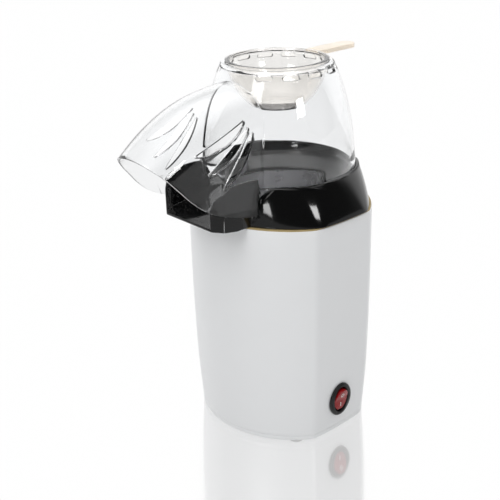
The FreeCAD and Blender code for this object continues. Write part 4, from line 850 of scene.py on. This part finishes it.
CAMERA_PLACE = Vector((0.5243, -0.4976, 0.44875))
CAMERA_SIDE_ANGLE = math.radians(46.5)      # turn from the front to the camera's side
YAW, PITCH, ROLL = -0.033818, 0.402517, -0.027318
FLOOR_WHITE = 1.16
FLOOR_MIRROR = 0.58
FLOOR_ROUGH = 0.09
CAMERA_SIDE = 0.07
BEHIND_WHITE = 1.10
BEHIND_FROM = -0.02
BEHIND_FULL = 0.45
OVERHEAD = 1.8
OVERHEAD_FROM, OVERHEAD_FULL = 0.70, 0.98

camera_data = bpy.data.cameras.new("camera")
camera_data.lens = 68.4
camera_data.sensor_width = 36.0
camera_data.clip_start = 0.01
camera_data.clip_end = 50.0
camera = bpy.data.objects.new("camera", camera_data)
bpy.context.scene.collection.objects.link(camera)
level_ahead = Vector((math.sin(YAW), math.cos(YAW), 0))
level_right = Vector((math.cos(YAW), -math.sin(YAW), 0))
upright = Vector((0, 0, 1))
ahead = level_ahead * math.cos(PITCH) - upright * math.sin(PITCH)
over = level_ahead * math.sin(PITCH) + upright * math.cos(PITCH)
right = level_right * math.cos(ROLL) + over * math.sin(ROLL)
above = over * math.cos(ROLL) - level_right * math.sin(ROLL)
swing = Matrix.Rotation(CAMERA_SIDE_ANGLE, 3, "Z")
axes = Matrix((swing @ right, swing @ above, swing @ -ahead)).transposed().to_4x4()
camera.matrix_world = Matrix.Translation(CAMERA_PLACE) @ axes
bpy.context.scene.camera = camera
bpy.context.scene.view_settings.view_transform = "Standard"


def make_floor():
    """A pale, polished floor, the same white all over."""
    deselect()
    bpy.ops.mesh.primitive_plane_add(size=12.0, location=(0, 0, -0.0012))
    floor = bpy.context.object
    floor.name = "floor"
    material = bpy.data.materials.new("floor_finish")
    material.use_nodes = True
    tree = material.node_tree
    tree.nodes.remove(tree.nodes["Principled BSDF"])
    glow = tree.nodes.new("ShaderNodeEmission")
    glow.inputs["Strength"].default_value = FLOOR_WHITE
    polish = tree.nodes.new("ShaderNodeBsdfGlossy")
    polish.inputs["Roughness"].default_value = FLOOR_ROUGH
    mix = tree.nodes.new("ShaderNodeMixShader")
    mix.inputs["Fac"].default_value = FLOOR_MIRROR
    tree.links.new(glow.outputs["Emission"], mix.inputs[1])
    tree.links.new(polish.outputs["BSDF"], mix.inputs[2])
    tree.links.new(mix.outputs["Shader"], tree.nodes["Material Output"].inputs["Surface"])
    paint(floor, material)


def softbox(name, azimuth, elevation, distance, width, height, power, aim=(0, 0, 0.17)):
    """A rectangular light; azimuth is turned from the camera's side, positive to the right."""
    data = bpy.data.lights.new(name, "AREA")
    data.shape = "RECTANGLE"
    data.size, data.size_y, data.energy = width, height, power
    light = bpy.data.objects.new(name, data)
    bpy.context.scene.collection.objects.link(light)
    a = CAMERA_SIDE_ANGLE + math.radians(azimuth)
    e = math.radians(elevation)
    offset = Vector((math.sin(a) * math.cos(e), -math.cos(a) * math.cos(e), math.sin(e)))
    light.location = Vector(aim) + offset * distance
    light.rotation_mode = "QUATERNION"
    light.rotation_quaternion = offset.to_track_quat("Z", "Y")
    light.visible_camera = False
    return light


def make_studio():
    """A white room behind and above the object, dark on the camera's side but for its backdrop."""
    world = bpy.data.worlds.new("studio")
    bpy.context.scene.world = world
    world.use_nodes = True
    tree = world.node_tree
    backdrop = tree.nodes["Background"]
    backdrop.inputs["Color"].default_value = (1, 1, 1, 1)
    ray = tree.nodes.new("ShaderNodeTexCoord")
    facing = tree.nodes.new("ShaderNodeVectorMath")
    facing.operation = "DOT_PRODUCT"
    facing.inputs[1].default_value = (-math.sin(CAMERA_SIDE_ANGLE), math.cos(CAMERA_SIDE_ANGLE), 0.0)
    behind = tree.nodes.new("ShaderNodeMapRange")
    behind.interpolation_type = "SMOOTHSTEP"
    behind.inputs["From Min"].default_value = BEHIND_FROM
    behind.inputs["From Max"].default_value = BEHIND_FULL
    behind.inputs["To Min"].default_value = CAMERA_SIDE
    behind.inputs["To Max"].default_value = BEHIND_WHITE
    split = tree.nodes.new("ShaderNodeSeparateXYZ")
    above = tree.nodes.new("ShaderNodeMapRange")
    above.interpolation_type = "SMOOTHSTEP"
    above.inputs["From Min"].default_value = OVERHEAD_FROM
    above.inputs["From Max"].default_value = OVERHEAD_FULL
    above.inputs["To Max"].default_value = OVERHEAD
    total = tree.nodes.new("ShaderNodeMath")
    tree.links.new(ray.outputs["Generated"], facing.inputs[0])
    tree.links.new(facing.outputs["Value"], behind.inputs["Value"])
    tree.links.new(ray.outputs["Generated"], split.inputs["Vector"])
    tree.links.new(split.outputs["Z"], above.inputs["Value"])
    tree.links.new(behind.outputs["Result"], total.inputs[0])
    tree.links.new(above.outputs["Result"], total.inputs[1])
    seen = tree.nodes.new("ShaderNodeLightPath")
    shown = tree.nodes.new("ShaderNodeMath")
    shown.operation = "MAXIMUM"
    tree.links.new(total.outputs["Value"], shown.inputs[0])
    tree.links.new(seen.outputs["Is Camera Ray"], shown.inputs[1])
    tree.links.new(shown.outputs["Value"], backdrop.inputs["Strength"])


make_floor()
make_studio()
softbox("left_light", -38, 40, 1.5, 0.5, 0.9, 6.2)
softbox("low_light", -26, 5, 1.6, 0.26, 0.20, 1.7)
softbox("right_light", 38, 20, 1.6, 0.36, 0.24, 4.0)
